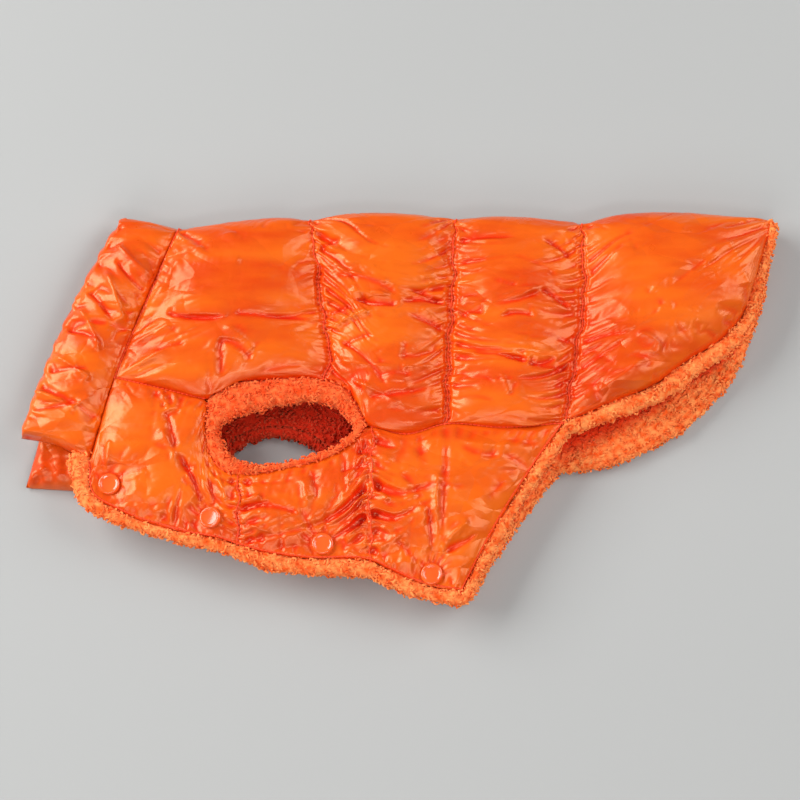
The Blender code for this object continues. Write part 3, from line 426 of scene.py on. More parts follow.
BELLY_FOLDS = (
    (-134, -2, -130, -30, 2, 3.2, -2.4),
    (-131, -26, -112, -57, 2, 3.2, -2.6),
    (-138, -14, -129, -38, 2, 4, 1.4),
    (-143, 11, -136, -1, 1, 2.2, -1.8),
    (-136, 11, -131, -2, 1, 2.2, -1.8),
    (-129, 10, -125, -1, 0, 2, -1.5),
    (-139, 11, -133, -4, 1, 2.5, 1.3),
    (-132, 11, -126, -1, 0, 2.5, 1.2),
    (-170, -22, -171, -38, 0, 3, -1.2),
    (-166, -20, -167, -37, 0, 2.5, 1.0),
    (-161, -34, -156, -23, 0, 2.2, -1.0),
    (-159, -43, -144, -38, 0, 3, 1.0),
    (-155, -48, -133, -56, 0, 5, 0.9),
    (-111, -41, -105, -59, 1, 2.4, -2.4),
    (-105, -37, -99, -56, 0, 2.6, 1.6),
    (-98, -43, -89, -52, 0, 2.4, -1.8),
    (-97, -56, -79, -53, 0, 3, 1.6),
    (-94, -62, -63, -61, 2, 3, -1.8),
    (-92, -68, -71, -74, 0, 3, 1.4),
    (-89, -59, -57, -64, 2, 2, -1.4),
    (-124, -38, -112, -55, 0, 3, 1.2),
    (-121, -56, -113, -64, 0, 2, -1.2),
    (-51, -35, -47, -55, 0, 2, -1.6),
    (-57, -38, -54, -56, 0, 4, 1.0),
    (-34, -38, -16, -34, 1, 2.2, -1.4),
    (-32, -46, -9, -41, 1, 2.2, 1.2),
    (-33, -53, -10, -50, 1, 2.0, -1.6),
    (-31, -59, -5, -56, 1, 2.2, 1.3),
    (-37, -72, -14, -65, 1, 2.2, -1.8),
    (-14, -65, 1, -66, 0, 2.0, -1.2),
    (-28, -24, -9, -28, 0, 2, -1.4),
    (-25, -29, -5, -34, 0, 2, 1.2),
    (-16, -20, -1, -24, 0, 2, -1.2),
    (-20, -76, -5, -78, 0, 2.2, -1.8),
    (-5, -78, 10, -92, 1, 2.4, -1.8),
    (-12, -71, 6, -85, 1, 3, 1.2),
    (26, -86, 46, -74, -1, 2.6, -1.6),
    (25, -80, 40, -68, 0, 3, 1.3),
    (17, -56, 18, -88, 0, 2.0, -1.4),
    (22, -38, 21, -83, 0, 2.6, 1.5),
    (26, -20, 25, -80, 0, 2.2, -1.3),
    (33, -22, 57, -28, -3, 3, -1.8),
    (57, -28, 75, -41, 2, 3, -1.6),
    (36, -19, 69, -24, -2, 3.5, 1.2),
    (57, -38, 69, -56, 2, 4, 1.0),
    (51, -56, 60, -44, 0, 3, -1.0),
    (80, -23, 57, -18, 0, 2, -1.2),
    (-1, -38, 12, -56, 2, 3, -1.0),
    (3, -20, 14, -28, 0, 2.5, -1.2),
    (7, -56, 16, -68, 0, 3, 1.0),
)
FOLDS = SHOULDER_FOLDS + COLLAR_FOLDS + FRONT_MIDDLE_FOLDS + REAR_MIDDLE_FOLDS + TAIL_FOLDS + BELLY_FOLDS
print("folds placed by hand:", len(FOLDS))

# %% [markdown]
# ## Reading the fold tables
#
# A fold tapers off at its ends and wanders a little off its line. The first helper tells, for places of
# the plan, how strong a fold is there and how many of its widths away. The others make a height and a
# painted shade from that: a sharp trough is painted redder, for the shade down in it.

# %% Height and shade of the folds
FULL_LENGTH = 20.0  # a shorter fold is shallower
SHADED_LENGTH = 14.0  # only longer and narrower troughs are shaded
SHADED_WIDTH = 4.5
FULL_SHADE = 2.4  # depth of a trough that is shaded in full


def beside_fold(row, x, y):
    """How deep a fold is at places of the plan, from 0 to 1, and how many of its widths they lie off it."""
    start_x, start_y, end_x, end_y, bow, width, _ = row
    run_x = end_x - start_x
    run_y = end_y - start_y
    length = math.hypot(run_x, run_y)
    along = ((x - start_x) * run_x + (y - start_y) * run_y) / length**2
    inside = np.clip(along, 0.0, 1.0)
    off = (-(x - start_x) * run_y + (y - start_y) * run_x) / length
    wander = 0.3 * width * np.sin(inside * length / 11.0 + start_x)
    lead = 0.12 + 0.2 * (abs(start_x) % 2)
    taper = ease(inside / lead) * ease((1 - inside) / (0.44 - lead))
    taper = taper * (0.8 + 0.2 * np.sin(inside * length / 8.0 + start_y))
    wide = max(width, 3.6 - 0.1 * length) * (0.55 + 0.45 * taper)
    return taper, (off - bow * 4 * inside * (1 - inside) - wander) / wide


def creases(x, y):
    found = np.zeros_like(x)
    for row in FOLDS:
        *_, width, height = row
        if height < 0:
            taper, off = beside_fold(row, x, y)
            long_enough = math.hypot(row[2] - row[0], row[3] - row[1]) > SHADED_LENGTH
            depth = min(1.0, -height / FULL_SHADE) * (width < SHADED_WIDTH) * long_enough
            line = np.exp(-((np.abs(off) * width) ** 1.5)) + 0.3 * np.exp(-(np.abs(off) ** 1.5))
            found = np.maximum(found, depth * np.clip(1.3 * taper * line, 0, 1))
    return found


def trough(off, sharp):
    if sharp:
        return np.exp(-(np.abs(off) ** 1.1))
    steep = np.where(off > 0, 0.42, 1.3)
    shoulder = 0.3 * np.exp(-(((off + 1.9) / 1.3) ** 2))
    return np.exp(-((np.abs(off) * steep) ** 1.15)) - shoulder


def fold_relief(x, y, sharp=False):
    total = np.zeros_like(x)
    for row in FOLDS:
        taper, off = beside_fold(row, x, y)
        off = off * (2.0 if sharp else 1.0)
        run_x = row[2] - row[0]
        height = row[-1] * min(1.0, math.hypot(run_x, row[3] - row[1]) / FULL_LENGTH)
        if height < 0:
            shape = trough(off * math.copysign(1.0, run_x), sharp)
        else:
            shape = 1.25 * np.exp(-(np.abs(off) ** 1.25))
        total += height * taper * shape
    return total * (0.5 if sharp else 1.05)


print("height at the first fold's middle:", fold_relief(np.array([-116.5]), np.array([55.0])).round(1), "mm")

# %% [markdown]
# ## Gathers
#
# A channel's thread is shorter than the cloth it holds, so the cloth bunches into gathers that die out a
# finger's width away. A sine would look like corrugated iron, so the spacing drifts, and a seeded
# generator gives each pucker its own depth and reach.

# %% Gathers beside a channel
BROAD_SPACING = 7.6
FINE_SPACING = 3.9
PLEAT_SPACING = 3.3


def pucker_number(along, spacing, seed):
    drift = 2.1 * np.sin(along / 17.0 + seed) + 1.1 * np.sin(along / 7.3 + 2.1 * seed)
    phase = (along + drift) / spacing
    number = np.round(phase)
    return number.astype(int), phase - number


def by_pucker(number, seed):
    shares = np.random.default_rng(int(seed * 10) + 3).random(97)
    return shares[number % len(shares)]


def waves(along, spacing, seed):
    number, place = pucker_number(along, spacing, seed)
    depth = 0.3 + 0.7 * by_pucker(number, seed)
    return depth * (0.5 + 0.5 * np.cos(2 * math.pi * place)) ** 1.3


def gather_relief(along, distance, strength, seed, size=1.0):
    lean = along + (0.3 * np.sin(along / 11.0 + seed)) * distance
    spacing = BROAD_SPACING * size
    number, _ = pucker_number(lean, spacing, seed)
    reach = (5.0 + 15.0 * by_pucker(number, seed + 1) ** 1.6) * size
    broad = 3.1 * waves(lean, spacing, seed) * np.exp(-distance / reach) * ease(distance / 5.5)
    spacing = FINE_SPACING * size
    number, _ = pucker_number(lean, spacing, seed + 1.7)
    reach = 3.0 + 8.0 * by_pucker(number, seed + 2) ** 1.5
    fine = 1.25 * waves(lean, spacing, seed + 1.7) * np.exp(-distance / reach)
    return -strength * (broad + fine * ease((distance + 0.4) / 3.2))


def ruching(along, distance, seed):
    crest = 1 - waves(along, PLEAT_SPACING, seed)
    return 0.85 * (crest - 0.35) * np.exp(-((distance / 2.4) ** 2))


def seam_sway(over, seed):
    short = 0.75 * np.sin(over / 4.3 + seed) + 0.55 * np.sin(over / 2.3 + 2.7 * seed)
    return short + 0.4 * np.sin(over / 11.0 + seed)


print("deepest gather:", (-gather_relief(np.linspace(0, 90, 400), 4.0, 1.0, 2.0)).max().round(1), "mm")

# %% [markdown]
# ## Snaps and small wrinkles
#
# A press snap clamps the padding flat, and the cloth fans out round it in short uneven folds. Elsewhere
# it is crumpled at random: folded sine waves, turned and bent by chance, in patches with smooth cloth
# between.

# %% Puckers round the snaps
CAP_EDGE = 7.0
FEWEST_PUCKERS = 9


def snap_puckers(x, y):
    total = np.zeros_like(x)
    for k, (snap_x, snap_y, _, _) in enumerate(SNAPS):
        off_x = x - snap_x
        off_y = y - snap_y
        away = np.hypot(off_x, off_y)
        turn = np.arctan2(off_y, off_x) + math.pi
        count = FEWEST_PUCKERS + k
        phase = count * (turn + 0.25 * np.sin(2 * turn + 1.3 * k)) / (2 * math.pi) + 0.03 * away
        number = np.round(phase).astype(int) % count
        fan = (0.5 + 0.5 * np.cos(2 * math.pi * (phase - np.round(phase)))) ** 1.6
        reach = 3.5 + 7.5 * by_pucker(number, 2.0 + k) ** 1.5
        upward = 0.35 + 0.65 * ease((off_y / np.maximum(away, 0.1) + 0.4) / 1.0)
        strength = by_pucker(number, 7.0 + k) * upward
        fading = np.exp(-np.clip(away - CAP_EDGE, 0, None) / reach)
        total -= 2.0 * strength * fan * fading * ease((away - 6.0) / 2.5)
    return total


print("puckers round the four snaps:", [FEWEST_PUCKERS + k for k in range(len(SNAPS))])

# %% [markdown]
# The larger wrinkles are soft and a few centimetres long. The crumples are sharp and tiny.

# %% Wrinkles and crumples
def turned_plan(x, y, chance, spread_of_turns):
    turn = chance.normal(0.0, spread_of_turns)
    along = x * math.cos(turn) + y * math.sin(turn)
    off = -x * math.sin(turn) + y * math.cos(turn)
    return along, off, chance.uniform(0, 6.28, 3)


def soft_wrinkles(x, y, seed):
    chance = np.random.default_rng(seed)
    total = np.zeros_like(x)
    for size, height in ((26.0, 0.9), (17.0, 0.6), (9.5, 0.32), (5.5, 0.15)):
        for _ in range(4):
            along, off, (a, b, c) = turned_plan(x, y, chance, 0.22)
            bend = 0.9 * np.sin(along / (2.1 * size) + a) + 0.5 * np.sin(off / (1.4 * size) + b)
            patch = 0.5 + 0.5 * np.sin(along / (2.6 * size) + c) * np.sin(off / (3.1 * size) + a)
            crest = 1 - np.abs(np.sin(off / size * 1.6 + bend + c))
            total += height * patch * (crest**2 - 0.33)
    return total


def crumples(x, y, seed):
    chance = np.random.default_rng(seed + 50)
    total = np.zeros_like(x)
    for size, height in ((7.0, 0.30), (4.2, 0.17), (2.7, 0.10)):
        for _ in range(3):
            along, off, (a, b, c) = turned_plan(x, y, chance, 0.8)
            bend = 1.2 * np.sin(along / (1.7 * size) + a) + 0.7 * np.sin(off / (1.2 * size) + b)
            patch = 0.3 + 0.8 * np.sin(along / (3.1 * size) + c) * np.sin(off / (3.7 * size) + a)
            crest = 1 - np.abs(np.sin(off / size + bend))
            total += height * np.clip(patch, 0, 1) * (crest**2 - 0.3)
    return total


sample = soft_wrinkles(*np.meshgrid(np.arange(60.0), np.arange(60.0)), 5)
print("wrinkles from", sample.min().round(1), "to", sample.max().round(1), "mm")

# %% [markdown]
# ## Grids of cloth
#
# A panel is a grid of points, closer together beside the stitches, where the puckers are tight. The
# relief is pushed along the grid's own normals, so it wraps round the spine fold. A grid can be made
# twice as fine, and that is how the finest creases are added.

# %% Grid helpers
def spread(length, step):
    close = np.array([0.0, 0.7, 1.4, 2.2, 3.2, 4.4])
    inner = np.linspace(close[-1], length - close[-1], int((length - 2 * close[-1]) / step) + 2)
    places = np.concatenate([close[:-1], inner, length - close[-2::-1]])
    return places / length


def normals_of(grid):
    down = np.gradient(grid, axis=0)
    over = np.gradient(grid, axis=1)
    found = np.cross(over, down)
    return found / np.maximum(np.linalg.norm(found, axis=2, keepdims=True), 1e-9)


def grid_along(grid):
    steps = np.linalg.norm(np.diff(grid, axis=0), axis=2).cumsum(axis=0)
    return np.vstack([np.zeros(grid.shape[1]), steps])


def finer(grid):
    """The same surface with twice the points each way, on smooth curves."""
    for axis in (0, 1):
        g = np.moveaxis(grid, axis, 0)
        ends = np.concatenate([2 * g[:1] - g[1:2], g, 2 * g[-1:] - g[-2:-1]])
        middle = (9 * (ends[1:-2] + ends[2:-1]) - ends[:-3] - ends[3:]) / 16
        made = np.empty((2 * len(g) - 1, *g.shape[1:]))
        made[0::2] = g
        made[1::2] = middle
        grid = np.moveaxis(made, 0, axis)
    return grid


def finer_measures(*measures):
    return np.moveaxis(finer(np.stack(measures, axis=-1)), -1, 0)


def finer_columns(u, grid):
    return np.interp(np.arange(grid.shape[1]), np.arange(0, grid.shape[1], 2), u)


print("points on a 100 mm rib:", len(spread(100.0, 2.0)))

# %% [markdown]
# ### Painted shade in the nylon's hollows
#
# In a trough the nylon mostly sees itself, and the light it throws back on itself is deep red. That shade is
# painted: a point that lies below the average of its neighbours is in a hollow; the mesh stores that, and
# the nylon's material paints it dark red. Points beside a seam get painted shade as well.

# %% Hollows of a grid
SEAM_SHADE = (0.0, 0.35, 0.75)  # light left on the first points beside a seam


def blurred(grid, reach):
    for axis in (0, 1):
        g = np.moveaxis(grid, axis, 0)
        padded = np.concatenate([np.repeat(g[:1], reach, 0), g, np.repeat(g[-1:], reach, 0)])
        total = np.cumsum(np.concatenate([np.zeros_like(padded[:1]), padded]), axis=0)
        g = (total[2 * reach + 1 :] - total[: -2 * reach - 1]) / (2 * reach + 1)
        grid = np.moveaxis(g, 0, axis)
    return grid


def hollows(grid, seams, lines):
    out = normals_of(grid)
    deep = ((blurred(grid, 2) - grid) * out).sum(axis=2) / 0.3
    wide = ((blurred(grid, 6) - grid) * out).sum(axis=2) / 1.2
    found = np.maximum(np.clip(0.7 * deep + 0.5 * wide - 0.1, 0, 0.9), lines)
    found = blurred(found[..., None], 1)[..., 0]
    border = np.ones(grid.shape[:2])
    for depth, light in enumerate(SEAM_SHADE):
        for side in (border[:, depth], border[:, -1 - depth], border[depth]):
            np.minimum(side, light, out=side)
    return np.maximum(found, seams * (1 - border))

# %% [markdown]
# ### Walls folded like a hairpin
#
# Most panels lie double: down the near side, round a fold, and back below. One helper makes such rows
# from the ribs and two heights, so every layer nests in the next.

# %% Hairpin walls
def turns_of(count):
    return np.linspace(0, math.pi, count + 2)[1:-1]


def level(count, height):

    def height_at(place):
        return np.full(count, height)

    return height_at


def hairpin(ends, inset, near_z, far_z, near_rows, angles, far_rows, lap=None):
    """Rows of points up the near side of ribs, round their tips and down the far side."""
    top, near, far, bow = ends
    radius = np.abs(near_z(1.0) - far_z(1.0)) / 2
    centre = (near_z(1.0) + far_z(1.0)) / 2
    turn = np.sign(near_z(1.0) - far_z(1.0))
    made = []
    for p in near_rows:
        start = np.linalg.norm(top - near, axis=1)
        plan = down_rib(top, near, bow, start - p * (start - radius - inset))
        made.append(np.column_stack([plan, near_z(p)]))
    for angle in angles:
        low = near + (far - near) * (angle / math.pi)
        plan = down_rib(top, low, bow, inset + radius * (1 - math.sin(angle)))
        made.append(np.column_stack([plan, centre + turn * radius * math.cos(angle)]))
    for p in far_rows[::-1]:
        end = lap if lap is not None else np.linalg.norm(top - far, axis=1)
        plan = down_rib(top, far, bow, end - p * (end - radius - inset))
        made.append(np.column_stack([plan, far_z(p)]))
    return np.array(made)


print("angles of a fold of three rows:", np.degrees(turns_of(3)))

# %% [markdown]
# ### Seams that two panels share
#
# The eye finds every gap between two panels. So each panel's edge is moved onto the shared side seam or
# leg hole's rim as its last step, and a hundredth of a millimetre keeps the two edges apart.

# %% Side seams and leg holes
SEAM_STEP = 0.01


def seam_height(seam, x):
    ahead = seam[:2]
    behind = seam[2:]
    split = (ahead[1][0] + behind[0][0]) / 2
    first = curve(*zip(*ahead), x)
    second = curve(*zip(*behind), x)
    return np.where(x < split, first, second)


def rim(rows):
    looped = np.vstack([rows[-3:], rows, rows[:3]])
    steps = np.linspace(0, len(rows), 12 * len(rows), endpoint=False)
    return curve(np.arange(-3, len(rows) + 3), looped, steps)


def reach_of(outline, centre, x, y):
    arms = outline - centre
    angles = np.arctan2(arms[:, 1], arms[:, 0])
    order = np.argsort(angles)
    found = np.arctan2(y - centre[1], x - centre[0])
    return np.interp(found, angles[order], np.hypot(*arms.T)[order], period=2 * math.pi)


RING_TABLE = np.array(LEG_RING_NEAR, float)
NEAR_RIM = rim(RING_TABLE[:, :2])
turns = np.linspace(0, 2 * math.pi, 180, endpoint=False)
FAR_RIM = FAR_HOLE_CENTRE + np.column_stack([np.cos(turns), np.sin(turns)]) * FAR_HOLE_OUTER
SIDES = {
    "near": (NEAR_SIDE_SEAM, NEAR_RIM_CENTRE, NEAR_RIM),
    "far": (FAR_SIDE_SEAM, FAR_HOLE_CENTRE, FAR_RIM),
}


def sewn(row, side, above):
    seam, centre, outline = SIDES[side]
    x = row[:, 0]
    y = row[:, 1]
    on_seam = (x <= seam[1][0]) | (x >= seam[2][0])
    arm = np.hypot(x - centre[0], y - centre[1])
    scale = reach_of(outline, centre, x, y) / arm
    seam_y = seam_height(seam, x) + (SEAM_STEP if above else -SEAM_STEP)
    moved = row.copy()
    moved[:, 0] = np.where(on_seam, x, centre[0] + (x - centre[0]) * scale)
    moved[:, 1] = np.where(on_seam, seam_y, centre[1] + (y - centre[1]) * scale)
    return moved


print("near leg hole's rim:", len(NEAR_RIM), "points,", np.ptp(NEAR_RIM, axis=0).round(0), "mm")

# %% [markdown]
# The neck seam is curved in the near layer and straight in the far one, so a point's height decides
# how much of the curve it takes.

# %% The neck seam
def on_neck_seam(column, side):
    knots, values = zip(*NECK_SEAM)
    near = curve(knots, values, column[:, 1])
    far = np.interp(column[:, 1], [knots[0], knots[-1]], [values[0], values[-1]])
    share = ease((column[:, 2] - 6.0) / 12.0)
    moved = column.copy()
    moved[:, 0] = far + (near - far) * share + side * SEAM_STEP
    return moved


print("the neck seam runs from x", NECK_SEAM[0][1], "to", NECK_SEAM[-1][1], "mm")

# %% [markdown]
# ## Meshes from grids
#
# A finished panel is a closed wall with a thickness, so no light leaks through: an outer grid, a plain
# inner one, and a strip that joins them. Points are moved into place here and nowhere else.

# %% Mesh objects
def quads_of(rows, columns, first=0):
    index = np.arange(rows * columns).reshape(rows, columns) + first
    corners = [index[:-1, :-1], index[:-1, 1:], index[1:, 1:], index[1:, :-1]]
    return index, np.stack(corners, axis=-1).reshape(-1, 4)


def add_to_scene(name, data):
    made = bpy.data.objects.new(name, data)
    bpy.context.scene.collection.objects.link(made)
    return made


def add_object(name, points, faces, material):
    mesh = bpy.data.meshes.new(name)
    mesh.from_pydata(((np.asarray(points) + SHIFT) * MM).tolist(), [], faces)
    mesh.shade_smooth()
    mesh.materials.append(material)
    return add_to_scene(name, mesh)


def set_values(piece, name, values):
    layer = piece.data.attributes.new(name, "FLOAT", "POINT")
    layer.data.foreach_set("value", np.asarray(values, np.float32))

# %% [markdown]
# The strip is zipped up like a ladder with uneven rungs: the side whose next point comes first is used.

# %% Closed walls
def chain_band(first, second, points):
    reach = []
    for chain in (first, second):
        steps = np.linalg.norm(np.diff(points[chain], axis=0), axis=1)
        reach.append(np.concatenate([[0], np.cumsum(steps)]) / max(steps.sum(), 1e-9))
    i = 0
    j = 0
    faces = []
    while i < len(first) - 1 or j < len(second) - 1:
        ahead = reach[0][i + 1] if i < len(first) - 1 else 2.0
        behind = reach[1][j + 1] if j < len(second) - 1 else 2.0
        if ahead <= behind:
            faces.append((first[i], first[i + 1], second[j]))
            i += 1
        else:
            faces.append((first[i], second[j + 1], second[j]))
            j += 1
    return faces


def borders(index):
    return index[0], index[:, -1], index[-1, ::-1], index[::-1, 0]


def closed_wall(name, outer, inner, material, hollow=None):
    """A wall of cloth: an outer grid, an inner grid, and a strip round their borders."""
    points = np.concatenate([outer.reshape(-1, 3), inner.reshape(-1, 3)])
    inside = len(outer) * outer.shape[1]
    outer_index, outer_faces = quads_of(*outer.shape[:2])
    inner_index, inner_faces = quads_of(*inner.shape[:2], first=inside)
    faces = outer_faces.tolist() + inner_faces[:, ::-1].tolist()
    for a, b in zip(borders(outer_index), borders(inner_index)):
        faces += [tuple(int(v) for v in f[::-1]) for f in chain_band(a, b, points)]
    made = add_object(name, points, faces, material)
    # the hollow values are painted shade, which the nylon's material turns dark red
    if hollow is not None:
        set_values(made, "hollow", np.concatenate([hollow.ravel(), np.zeros(len(points) - inside)]))
    print(f"{name}: {len(faces)} faces")
    return made

# %% [markdown]
# ## Letting the cloth settle
#
# Placed folds alone look modelled. In a short cloth simulation the seams are held, the padding presses
# outwards, and the cloth is cut a little larger than its place, so it must buckle. A second shape key
# holds the larger cut, and the springs take their lengths from it.

# %% The cloth to simulate
SIM_SCALE = 0.01  # simulated at ten times life size, where the solver is steady
SIM_STEPS = 32
PRESSURE = 0.9
CLOTH_SETTINGS = {
    "quality": 4,
    "mass": 0.15,
    "tension_stiffness": 12,
    "compression_stiffness": 12,
    "shear_stiffness": 4,
    "bending_stiffness": 0.2,
    "tension_damping": 6,
    "compression_damping": 6,
    "shear_damping": 6,
    "air_damping": 2,
    "vertex_group_mass": "held",
    "use_pressure": True,
    "uniform_pressure_force": PRESSURE,
}
sim_clock = []


def cloth_of(name, grid, held, extra_along, extra_across):
    _, quads = quads_of(*grid.shape[:2])
    start = grid.reshape(-1, 3) * SIM_SCALE
    mesh = bpy.data.meshes.new(name + "_cloth")
    mesh.from_pydata(start.tolist(), [], quads.tolist())
    cloth = add_to_scene(name + "_cloth", mesh)
    cloth.shape_key_add(name="placed")
    cut = cloth.shape_key_add(name="cut")
    larger = start * np.array([1 + extra_across, 1 + extra_along, 1 + extra_along])
    cut.data.foreach_set("co", larger.astype(np.float32).ravel())
    cut.value = 0.0
    group = cloth.vertex_groups.new(name="held")
    group.add(np.flatnonzero(held).tolist(), 1.0, "REPLACE")
    modifier = cloth.modifiers.new("cloth", "CLOTH")
    modifier.point_cache.frame_end = SIM_STEPS + 1
    modifier.collision_settings.use_collision = False
    for key, value in CLOTH_SETTINGS.items():
        setattr(modifier.settings, key, value)
    modifier.settings.rest_shape_key = cut
    modifier.settings.effector_weights.gravity = 0.0
    return cloth

# %% [markdown]
# Only the last shape is kept, and a limit on each point's way guards the fit with the next panels.

# %% Simulation of one panel
def settle(name, grid, held, extra_along, extra_across, most):
    """Relaxes a grid of points (mm) as cloth cut larger than its place. Returns the moved grid."""
    begun = time.time()
    cloth = cloth_of(name, grid, held, extra_along, extra_across)
    scene = bpy.context.scene
    for step in range(1, SIM_STEPS + 1):
        scene.frame_set(step)
    shaped = cloth.evaluated_get(bpy.context.evaluated_depsgraph_get()).data
    found = np.empty(grid.size, np.float32)
    shaped.vertices.foreach_get("co", found)
    moved = found.reshape(grid.shape) / SIM_SCALE - grid
    bpy.data.objects.remove(cloth)
    scene.frame_set(1)
    far = np.linalg.norm(moved, axis=2, keepdims=True)
    sim_clock.append(time.time() - begun)
    print(f"{name}: {grid.shape[0]}x{grid.shape[1]} points settled, moved {far.mean():.2f} mm on average, "
          f"{far.max():.2f} at most, in {sim_clock[-1]:.1f} s")
    return grid + moved * np.minimum(1.0, most / np.maximum(far, 1e-6))


def border_of(grid):
    held = np.zeros(grid.shape[:2], bool)
    held[0] = held[-1] = held[:, 0] = held[:, -1] = True
    return held

# %% [markdown]
# ## Finishes
#
# Every material and Geometry Nodes tree is a set of nodes wired together. The first helper adds a node
# with a table of its inputs, where a socket means a wire. The textures read the piece's own coordinates,
# so they stay put when it is moved.

# %% Helpers for nodes
def feed(tree, made, inputs):
    """Gives a node its inputs: a socket is linked, and anything else is set as the input's value."""
    for key, value in inputs.items():
        if isinstance(value, bpy.types.NodeSocket):
            tree.links.new(value, made.inputs[key])
        else:
            made.inputs[key].default_value = value


def node(tree, kind, inputs, **settings):
    made = tree.nodes.new(kind)
    for key, value in settings.items():
        setattr(made, key, value)
    feed(tree, made, inputs)
    return made


def new_material(name):
    material = bpy.data.materials.new(name)
    material.use_nodes = True
    return material, material.node_tree, material.node_tree.nodes["Principled BSDF"]


def own_place(tree):
    return tree.nodes.new("ShaderNodeTexCoord").outputs["Object"]

# %% [markdown]
# Five small building blocks are enough: a noise, a ramp that turns a value into colours or greys, a
# bump, a mix of two colours, and a number stored on the mesh.

# %% Building blocks of the materials
def noise(tree, place, scale, detail=3.0, stretch=(1, 1, 1)):
    mapping = node(tree, "ShaderNodeMapping", {"Vector": place, "Scale": stretch})
    inputs = {"Vector": mapping.outputs["Vector"], "Scale": scale, "Detail": detail}
    return node(tree, "ShaderNodeTexNoise", inputs).outputs["Fac"]


def ramp(tree, value, stops):
    made = node(tree, "ShaderNodeValToRGB", {"Fac": value})
    for k, (at, colour) in enumerate(stops):
        stop = made.color_ramp.elements[k] if k < 2 else made.color_ramp.elements.new(at)
        stop.position = at
        stop.color = colour if isinstance(colour, tuple) else (colour, colour, colour, 1.0)
    return made.outputs["Color"]


def bump(tree, height, distance, strength, below=None):
    inputs = {"Height": height, "Distance": distance, "Strength": strength}
    if below is not None:
        inputs["Normal"] = below
    return node(tree, "ShaderNodeBump", inputs).outputs["Normal"]


def mixed(tree, share, first, second):
    inputs = {"Factor": share, 6: first, 7: second}
    return node(tree, "ShaderNodeMix", inputs, data_type="RGBA").outputs[2]


def stored(tree, name):
    return node(tree, "ShaderNodeAttribute", {}, attribute_name=name).outputs["Fac"]

# %% [markdown]
# ### Glossy nylon
#
# Coated nylon reflects like lacquer and creases sharply. A wavy bump would look like plastic, so the
# fine creases are facets: the distance to Voronoi cells' borders, bent by a noise, shown in patches.

# %% Facets of creased nylon
FACET_SCALE = 48.0


def facets(tree, place, scale, stretch):
    """Flat facets with sharp creases between them, patchy, as crumpled nylon has."""
    drift = node(tree, "ShaderNodeTexNoise", {"Vector": place, "Scale": scale * 0.7})
    inputs = {0: drift.outputs["Color"], 1: (0.6 / scale, 0.6 / scale, 0.6 / scale), 2: place}
    moved = node(tree, "ShaderNodeVectorMath", inputs, operation="MULTIPLY_ADD")
    mapping = node(tree, "ShaderNodeMapping", {"Vector": moved.outputs[0], "Scale": stretch})
    inputs = {"Vector": mapping.outputs["Vector"], "Scale": scale}
    cells = node(tree, "ShaderNodeTexVoronoi", inputs, feature="DISTANCE_TO_EDGE")
    patch = noise(tree, place, scale * 0.28, 1.0)
    share = node(tree, "ShaderNodeMapRange", {"Value": patch, "From Min": 0.4, "From Max": 0.66})
    inputs = {0: cells.outputs["Distance"], 1: share.outputs[0]}
    return node(tree, "ShaderNodeMath", inputs, operation="MULTIPLY").outputs[0]


print("facets are", round(1 / FACET_SCALE / MM), "mm across")

# %% [markdown]
# The material itself: a tone that drifts, painted shade that turns its hollows red, a gloss that varies,
# and the facets over a weave.

# %% Nylon
def make_nylon():
    material, tree, shader = new_material("glossy_nylon")
    place = own_place(tree)
    tone = noise(tree, place, 42.0, stretch=(0.3, 1.0, 1.0))
    colour = ramp(tree, tone, [(0.36, (0.64, 0.05, 0.0015, 1)), (0.62, (0.76, 0.116, 0.004, 1))])
    weave = bump(tree, noise(tree, place, 1500.0, 2.0), 0.0001, 0.15)
    feed(tree, shader, {
        # painted shade: where the mesh's hollow value is high, the colour turns dark red
        "Base Color": mixed(tree, stored(tree, "hollow"), colour, (0.7, 0.013, 0.001, 1)),
        "Roughness": ramp(tree, noise(tree, place, 60.0), [(0.3, 0.27), (0.75, 0.37)]),
        "Normal": bump(tree, facets(tree, place, FACET_SCALE, (0.6, 1.2, 1)), 0.005, 1.0, weave),
        "Specular IOR Level": 0.75,
        "Specular Tint": (1.0, 0.66, 0.36, 1),
        "Coat Weight": 0.06,
        "Coat Roughness": 0.1,
    })
    return material


NYLON = make_nylon()
print("nylon nodes:", len(NYLON.node_tree.nodes))

# %% [markdown]
# ### Curly fleece
#
# Fleece is matt. A noise varies its tone at random, and a number on the mesh says how deep inside the
# coat a curl lies: there it is painted red, and darkest red, as shade. Some sheen gives its soft edge.

# %% Fleece
def make_fleece():
    material, tree, shader = new_material("curly_fleece")
    place = own_place(tree)
    tone = noise(tree, place, 240.0)
    colour = ramp(tree, tone, [(0.34, (0.86, 0.1, 0.009, 1)), (0.64, (0.97, 0.31, 0.085, 1))])
    # painted shade: the deeper a curl lies inside the coat, the redder and darker it is painted
    deep = stored(tree, "deep")
    first = ramp(tree, deep, [(0.0, 0.0), (0.8, 1.0)])
    last = ramp(tree, deep, [(0.8, 0.0), (1.0, 1.0)])
    colour = mixed(tree, first, colour, (0.78, 0.03, 0.003, 1))
    feed(tree, shader, {
        "Base Color": mixed(tree, last, colour, (0.5, 0.012, 0.002, 1)),
        "Normal": bump(tree, noise(tree, place, 900.0, 2.0), 0.0003, 0.3),
        "Roughness": 0.95,
        "Specular IOR Level": 0.1,
        "Sheen Weight": 0.3,
        "Sheen Roughness": 0.6,
        "Sheen Tint": (1.0, 0.55, 0.25, 1),
    })
    return material


FLEECE = make_fleece()
print("fleece nodes:", len(FLEECE.node_tree.nodes))
